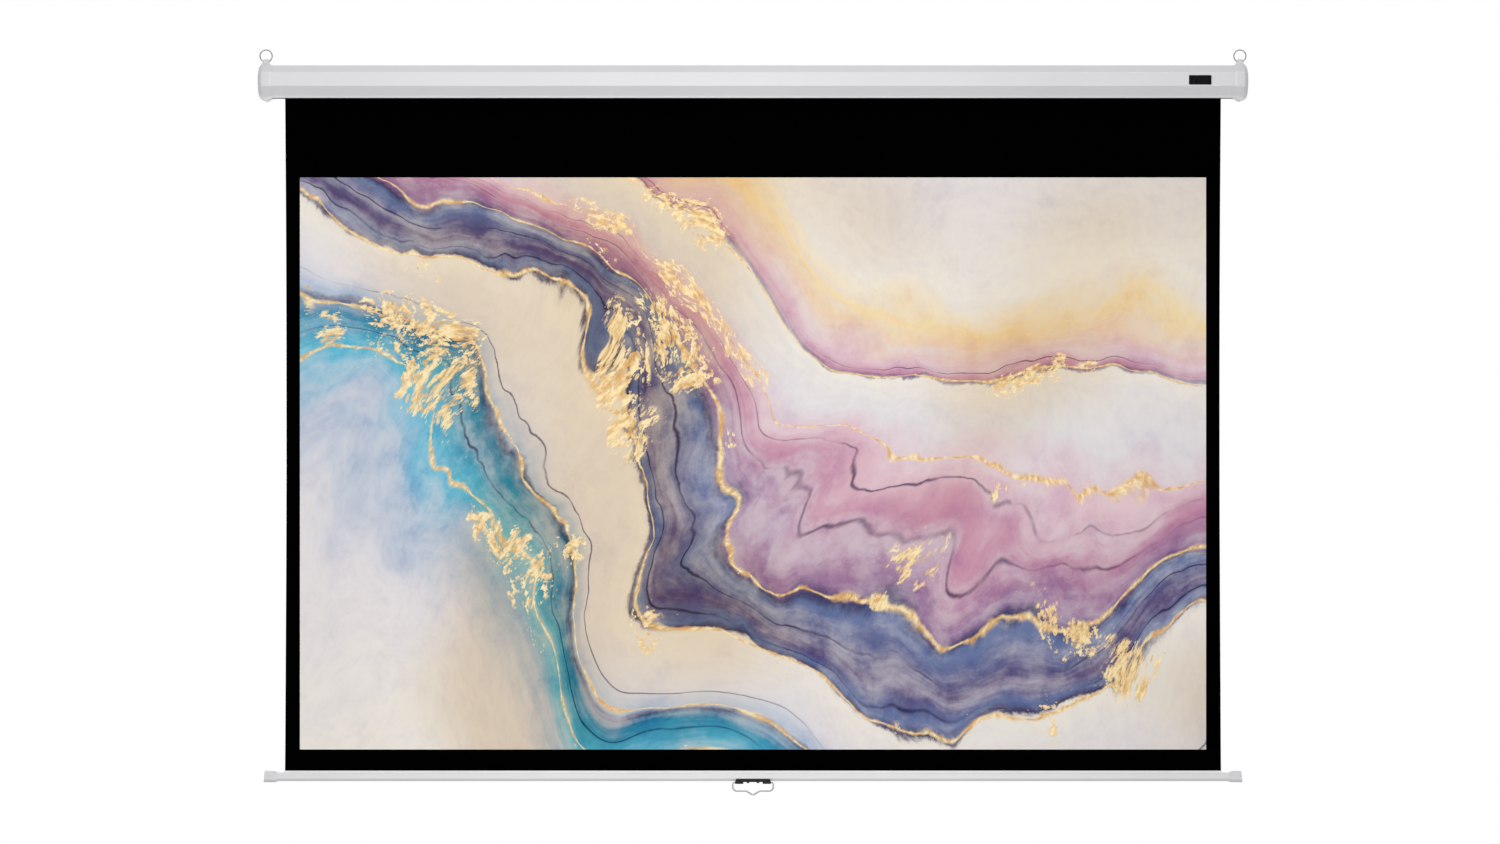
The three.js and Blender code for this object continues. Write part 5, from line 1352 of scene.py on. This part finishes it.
def build_shoes():
    """A plastic shoe over each end of the bar, with the bar's own outline and a gap as its socket."""
    gap = model().bar.gap
    shoe = add_piece("right_bar_shoe", shoe_grid(), sharp=40)
    stations = [SHOE_LOW[0] - OVERRUN, BAR_HIGH[0] + gap]
    socket = add_piece("socket", along_x(bar_outline(gap, gap, gap), stations))
    carve(shoe, "DIFFERENCE", [socket], 40)
    flat_faces_first(shoe)
    dress_pair(shoe, "bar", "cap_white", finish(moulded_white), "right_bar_cap")


# Handle

def saddle_grid():
    """The saddle under the bar: an outer and an inner half-ellipse one wall apart, joined at the rims by
    small bevels. Its flanges lean in at both ends."""
    s, b = model().handle, model().bar
    edge = 0.35 * MM
    top = BRACKET_HIGH[2]
    springing = BAR_LOW[2] + b.bottom_round
    lines = []
    for grow in (b.gap + s.wall, b.gap):
        half = (BAR_HIGH[1] - BAR_LOW[1]) / 2 + grow
        depth = b.bottom_round + grow
        rim = math.asin((springing - top + edge) / depth)
        turn = np.linspace(np.pi + rim, 2 * np.pi - rim, 31)
        lines.append(np.stack([SHEET_Y + half * np.cos(turn), springing + depth * np.sin(turn)], axis=1))
    outer, inner = lines
    right = points((outer[-1, 0] - edge, top), (inner[-1, 0] + edge, top))
    left = points((inner[0, 0] - edge, top), (outer[0, 0] + edge, top))
    outline = np.vstack([outer, right, inner[::-1], left])
    lean = s.end_slope * np.clip((outline[:, 1] - BAR_LOW[2]) / (top - BAR_LOW[2]), 0, 1)
    stations = np.linspace(-1, 1, 25)[:, None] * (BRACKET_HIGH[0] - edge - lean)
    return along_x(outline, stations)


def lobe_grid(side):
    """One lobe: a rounded block whose ends are rounded over by a quarter circle of drawn-in outlines."""
    s = model().handle
    foot_round, top_round, edge, below_bar = 2.2 * MM, 0.85 * MM, 0.7 * MM, 0.6 * MM
    outer, inner = BRACKET_HIGH[0], BRACKET_HIGH[0] - s.lobe_length
    foot, top = BRACKET_LOW[2], BAR_LOW[2] - below_bar
    front, back = SHEET_Y - s.lobe_half, SHEET_Y + s.lobe_half
    corners = points((front, foot), (back, foot), (back, top), (front, top))
    outline = rounded(corners, [foot_round, foot_round, top_round, top_round], 8)
    turn = np.linspace(0, np.pi / 2, 7)
    near = inner + edge * (1 - np.sin(turn[::-1]))
    far = outer - edge * (1 - np.sin(turn))
    drawn = edge * (1 - np.cos(turn))
    sections = [inset(outline, d) for d in drawn[::-1]] + [inset(outline, d) for d in drawn]
    grid = along_x(np.array(sections), np.concatenate([near, far]))
    if side < 0:
        grid[..., 0] *= -1
        grid = grid[::-1]
    return grid


def build_bracket():
    """The black bracket: the saddle with a lobe at each end, bored for the wire and for two screws."""
    s = model().handle
    clearance, screw_hole, into_bar, shank = 0.3 * MM, 1.7 * MM, 1 * MM, 1.4 * MM
    bracket = add_piece("bracket_moulding", saddle_grid(), sharp=40)
    carve(bracket, "UNION", [add_piece("lobe", lobe_grid(side)) for side in (1, -1)], 40)
    wire_hole = s.wire + clearance
    inner, outer = BRACKET_HIGH[0] - s.grip - clearance, BRACKET_HIGH[0] + 2 * OVERRUN
    shaft = [(screw_hole, BRACKET_LOW[2] - OVERRUN), (screw_hole, BAR_LOW[2] + into_bar)]
    tools = []
    for side in (1, -1):
        bore = [(wire_hole, end) for end in sorted((side * inner, side * outer))]
        tools.append(add_piece("wire_bore", turned(bore, HANDLE_PIVOT, "x", 32)))
        middle = centre_of("right_bracket_screw") * (side, 1, 1)
        tools.append(add_piece("screw_bore", turned(shaft, middle, "z", 32)))
    carve(bracket, "DIFFERENCE", tools, 40)
    flat_faces_first(bracket)
    dress(bracket, "bar", "black_plastic", finish(black_plastic), "handle_bracket")
    for side in ("right", "left"):
        node = f"{side}_bracket_screw"
        screw = build_screw(f"{node}_head", node, "z", -1, shank)
        dress(screw, "bar", "black_steel", finish(black_steel), node)


def bail_path():
    """The wire's middle line: in through a lobe, round the end, along the lower run and down to the dip.
    Straight runs meet in arcs, and the points are spread evenly along the line."""
    s = model().handle
    pivot_z, low_run = HANDLE_PIVOT[2], HANDLE_PIVOT[2] - s.drop
    half = [(BRACKET_HIGH[0] - s.grip, pivot_z), (s.half_width, pivot_z)]
    half += [(s.half_width, low_run), (s.dip_half, low_run)]
    corners = np.array(half + [(0, low_run - s.dip)] + [(-across, height) for across, height in half[::-1]])
    end_bend, foot_bend, side_bend, dip_bend = 5 * MM, 9 * MM, 5 * MM, 8 * MM
    half_bends = [end_bend, foot_bend, side_bend]
    bends = arcs(corners[:-2], corners[1:-1], corners[2:], half_bends + [dip_bend] + half_bends[::-1], 12)
    line = np.vstack([corners[:1], bends, corners[-1:]])
    walked = np.concatenate([[0], np.cumsum(np.linalg.norm(np.diff(line, axis=0), axis=1))])
    even = np.linspace(0, walked[-1], 260)
    x, z = np.interp(even, walked, line[:, 0]), np.interp(even, walked, line[:, 1])
    return np.stack([x, np.full(len(x), SHEET_Y), z], axis=1)


def build_bail():
    """The pull handle: one bent wire whose ends turn in the bracket's lobes."""
    bail = add_piece("bail_wire", wire(bail_path(), model().handle.wire, 20), sharp=60)
    # The wire's plating is darkened as a painted shade for its dark reflections.
    dress(bail, "handle", "chrome_wire", finish(bright_wire), "handle_bail")


# Pieces that keep the frame's own meshes

KEPT_NODES = {
    zinc_plate: (
        "right_end_plate", "left_end_plate", "spindle", "ratchet_wheel", "idler_pin", "roller_tube",
        "right_plug_rivet", "left_plug_rivet", "pawl_pin_1", "pawl_pin_2", "pawl_1", "pawl_2", "ballast_rod",
    ),
    natural_nylon: ("idler_bush", "idler_plug", "lock_bush", "rod_anchor", "rod_guide", "hem_rod"),
    black_plastic: ("lock_plug",),
    spring_wire: ("torsion_spring", "spindle_clip"),
}


def finish_inner_parts():
    """Materials for the roller's works and the other pieces whose own shape is right."""
    for describe, nodes in KEPT_NODES.items():
        for node in nodes:
            mesh = frame["nodes"][node].data
            mesh.materials.clear()
            mesh.materials.append(finish(describe))


# Stage

SENSOR_WIDTH = 36  # of the camera, in its own millimetres
CLIP_END = 100
SCREEN_MIDDLE = (0, 0, VIEW_HEIGHT)

# Each lamp: its name, its place, the point that it faces, its width and height, and its power's name
LAMPS = (
    ("key_light", (-0.2, -2, 0), (-0.2, 0, 0), (0.8, 0.8), "key_power"),
    ("low_light", (0, -2.6, -1.85), (0, 0, -0.1), (2, 0.8), "low_power"),
    ("left_light", (-1.5, -2.2, -0.9), (-0.5, 0, -0.9), (2, 0.6), "left_power"),
    ("top_light", (0, -2.2, 2.6), (0, 0, 0), (5, 1), "top_power"),
    ("side_light", (-2.9, -4, -0.4), SCREEN_MIDDLE, (0.25, 2.2), "side_power"),
    ("side_light", (2.9, -4, -0.4), SCREEN_MIDDLE, (0.25, 2.2), "side_power"),
    ("back_light", (0, 5, 0.6), SCREEN_MIDDLE, (5, 3), "back_power"),
)

# Each dark card: its name, its middle, its width as a vector, and its height
CARDS = (
    ("front_card", (0, -9, -0.6), (16, 0, 0), 9),
    ("side_card", (-8, -3.5, -0.6), (0, 7, 0), 9),
    ("side_card", (8, -3.5, -0.6), (0, 7, 0), 9),
)


def add_lamp(name, place, aim, size, power):
    """A rectangular lamp that faces a point."""
    light = bpy.data.lights.new(name, "AREA")
    light.shape = "RECTANGLE"
    light.size, light.size_y = size
    light.energy = power
    lamp = add_object(name, light)
    lamp.location = place
    lamp.rotation_euler = (Vector(aim) - Vector(place)).to_track_quat("-Z", "Y").to_euler()


def add_board(name, corners, material):
    """One flat face on the stage."""
    mesh = new_mesh(name, corners, [(0, 1, 2, 3)])
    mesh.materials.append(material)
    board = add_object(name, mesh)
    return board


def add_card(name, place, across, height):
    """A dark card out of the camera's sight, for the bright wires to mirror."""
    across, up = np.array(across) / 2, np.array([0, 0, height / 2])
    corners = np.array(place) + np.array([-across - up, across - up, across + up, up - across])
    card = add_board(name, corners, finish(dark_card))
    card.visible_camera = False
    card.visible_diffuse = False
    card.visible_shadow = False


def build_world():
    """White to the camera and in reflections, and a dimmer even light on the object."""
    f = Finish("studio", "worlds")
    soft, white = (
        f.node("ShaderNodeBackground", sockets={"Color": WHITE, "Strength": strength})
        for strength in (model().stage.ambient, 1.0)
    )
    bpy.context.scene.world = f.done(f.mix_shader(f.seen(), soft, white), "ShaderNodeOutputWorld")


def build_stage():
    """The camera, the floor, the lamps and the world."""
    s = model().stage
    scene = bpy.context.scene
    camera = bpy.data.cameras.new("camera")
    camera.sensor_width = SENSOR_WIDTH
    camera.lens = SENSOR_WIDTH * s.camera_distance / s.view_width
    camera.clip_end = CLIP_END
    view = add_object("camera", camera)
    view.location = (s.camera_x, SHEET_Y - s.camera_distance, s.camera_z)
    view.rotation_euler = (math.pi / 2, 0, 0)
    scene.camera = view
    half = s.floor_size / 2
    corners = [(-half, -half), (half, -half), (half, half), (-half, half)]
    add_board("floor", [(x, y, s.floor_z) for x, y in corners], finish(pale_floor))
    for name, place, aim, size, power in LAMPS:
        add_lamp(name, place, aim, size, getattr(s, power))
    for card in CARDS:
        add_card(*card)
    build_world()
    scene.view_settings.view_transform = "Standard"


# Add-on classes

class PieceOperator:
    """What the operators share. Each of them builds one group of pieces, or the stage."""

    bl_options = {"REGISTER", "UNDO"}

    def execute(self, context):
        type(self).build()
        return {"FINISHED"}


class SCREEN_OT_stage(PieceOperator, bpy.types.Operator):
    """Set up the camera, the floor and the light"""

    bl_idname = "projection_screen.stage"
    bl_label = "Stage"
    build = staticmethod(build_stage)


class SCREEN_OT_case(PieceOperator, bpy.types.Operator):
    """Build the folded steel case"""

    bl_idname = "projection_screen.case"
    bl_label = "Case"
    build = staticmethod(build_case)


class SCREEN_OT_caps(PieceOperator, bpy.types.Operator):
    """Build the moulded end caps"""

    bl_idname = "projection_screen.caps"
    bl_label = "End caps"
    build = staticmethod(build_caps)


class SCREEN_OT_rings(PieceOperator, bpy.types.Operator):
    """Build the hanging rings"""

    bl_idname = "projection_screen.rings"
    bl_label = "Hanging rings"
    build = staticmethod(build_rings)


class SCREEN_OT_badge(PieceOperator, bpy.types.Operator):
    """Build the bare badge plate"""

    bl_idname = "projection_screen.badge"
    bl_label = "Badge"
    build = staticmethod(build_badge)


class SCREEN_OT_cap_screws(PieceOperator, bpy.types.Operator):
    """Build the screws of the end caps"""

    bl_idname = "projection_screen.cap_screws"
    bl_label = "Cap screws"
    build = staticmethod(build_cap_screws)


class SCREEN_OT_rivets(PieceOperator, bpy.types.Operator):
    """Build the rivets of the end plates"""

    bl_idname = "projection_screen.rivets"
    bl_label = "Rivets"
    build = staticmethod(build_rivets)


class SCREEN_OT_sheet(PieceOperator, bpy.types.Operator):
    """Build the screen that hangs from the roller"""

    bl_idname = "projection_screen.sheet"
    bl_label = "Screen"
    build = staticmethod(build_sheet)


class SCREEN_OT_hem(PieceOperator, bpy.types.Operator):
    """Build the screen's hem"""

    bl_idname = "projection_screen.hem"
    bl_label = "Hem"
    build = staticmethod(build_hem)


class SCREEN_OT_roll(PieceOperator, bpy.types.Operator):
    """Build the turns of screen left on the roller"""

    bl_idname = "projection_screen.roll"
    bl_label = "Wound turns"
    build = staticmethod(build_roll)


class SCREEN_OT_bar(PieceOperator, bpy.types.Operator):
    """Build the weight bar"""

    bl_idname = "projection_screen.bar"
    bl_label = "Weight bar"
    build = staticmethod(build_bar)


class SCREEN_OT_clamp(PieceOperator, bpy.types.Operator):
    """Build the strip that grips the hem"""

    bl_idname = "projection_screen.clamp"
    bl_label = "Hem clamp"
    build = staticmethod(build_clamp)


class SCREEN_OT_shoes(PieceOperator, bpy.types.Operator):
    """Build the shoes at the bar's ends"""

    bl_idname = "projection_screen.shoes"
    bl_label = "Bar shoes"
    build = staticmethod(build_shoes)


class SCREEN_OT_bracket(PieceOperator, bpy.types.Operator):
    """Build the handle's bracket and its screws"""

    bl_idname = "projection_screen.bracket"
    bl_label = "Handle bracket"
    build = staticmethod(build_bracket)


class SCREEN_OT_bail(PieceOperator, bpy.types.Operator):
    """Build the handle's wire"""

    bl_idname = "projection_screen.bail"
    bl_label = "Handle wire"
    build = staticmethod(build_bail)


class SCREEN_OT_inner_parts(PieceOperator, bpy.types.Operator):
    """Give the roller's works their materials"""

    bl_idname = "projection_screen.inner_parts"
    bl_label = "Inner parts"
    build = staticmethod(finish_inner_parts)


OPERATORS = (
    SCREEN_OT_stage,
    SCREEN_OT_case,
    SCREEN_OT_caps,
    SCREEN_OT_rings,
    SCREEN_OT_badge,
    SCREEN_OT_cap_screws,
    SCREEN_OT_rivets,
    SCREEN_OT_sheet,
    SCREEN_OT_hem,
    SCREEN_OT_roll,
    SCREEN_OT_bar,
    SCREEN_OT_clamp,
    SCREEN_OT_shoes,
    SCREEN_OT_bracket,
    SCREEN_OT_bail,
    SCREEN_OT_inner_parts,
)


class SCREEN_PT_panel(bpy.types.Panel):
    """Lists the operators and the settings"""

    bl_idname = "SCREEN_PT_panel"
    bl_label = "Projection screen"
    bl_space_type = "VIEW_3D"
    bl_region_type = "UI"
    bl_category = "Screen"

    def draw(self, context):
        for operator in OPERATORS:
            self.layout.operator(operator.bl_idname)
        for part in ScreenModel.__annotations__:
            box = self.layout.box()
            owner = getattr(model(), part)
            for name in type(owner).__annotations__:
                box.prop(owner, name)


GROUPS = (CaseSizes, CapSizes, SheetSizes, BarSizes, HandleSizes, Finishes, StageSizes, ScreenModel)


def register():
    for cls in (*GROUPS, *OPERATORS, SCREEN_PT_panel):
        bpy.utils.register_class(cls)
    about = "Sizes, colours and stage of the projection screen"
    bpy.types.Scene.projection_screen = group(ScreenModel, "Projection screen", about)


def unregister():
    del bpy.types.Scene.projection_screen
    for cls in reversed((*GROUPS, *OPERATORS, SCREEN_PT_panel)):
        bpy.utils.unregister_class(cls)


def main():
    """Builds everything."""
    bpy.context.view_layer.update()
    register()
    for operator in OPERATORS:
        category, name = operator.bl_idname.split(".")
        getattr(getattr(bpy.ops, category), name)()


if __name__ == "__main__":
    main()
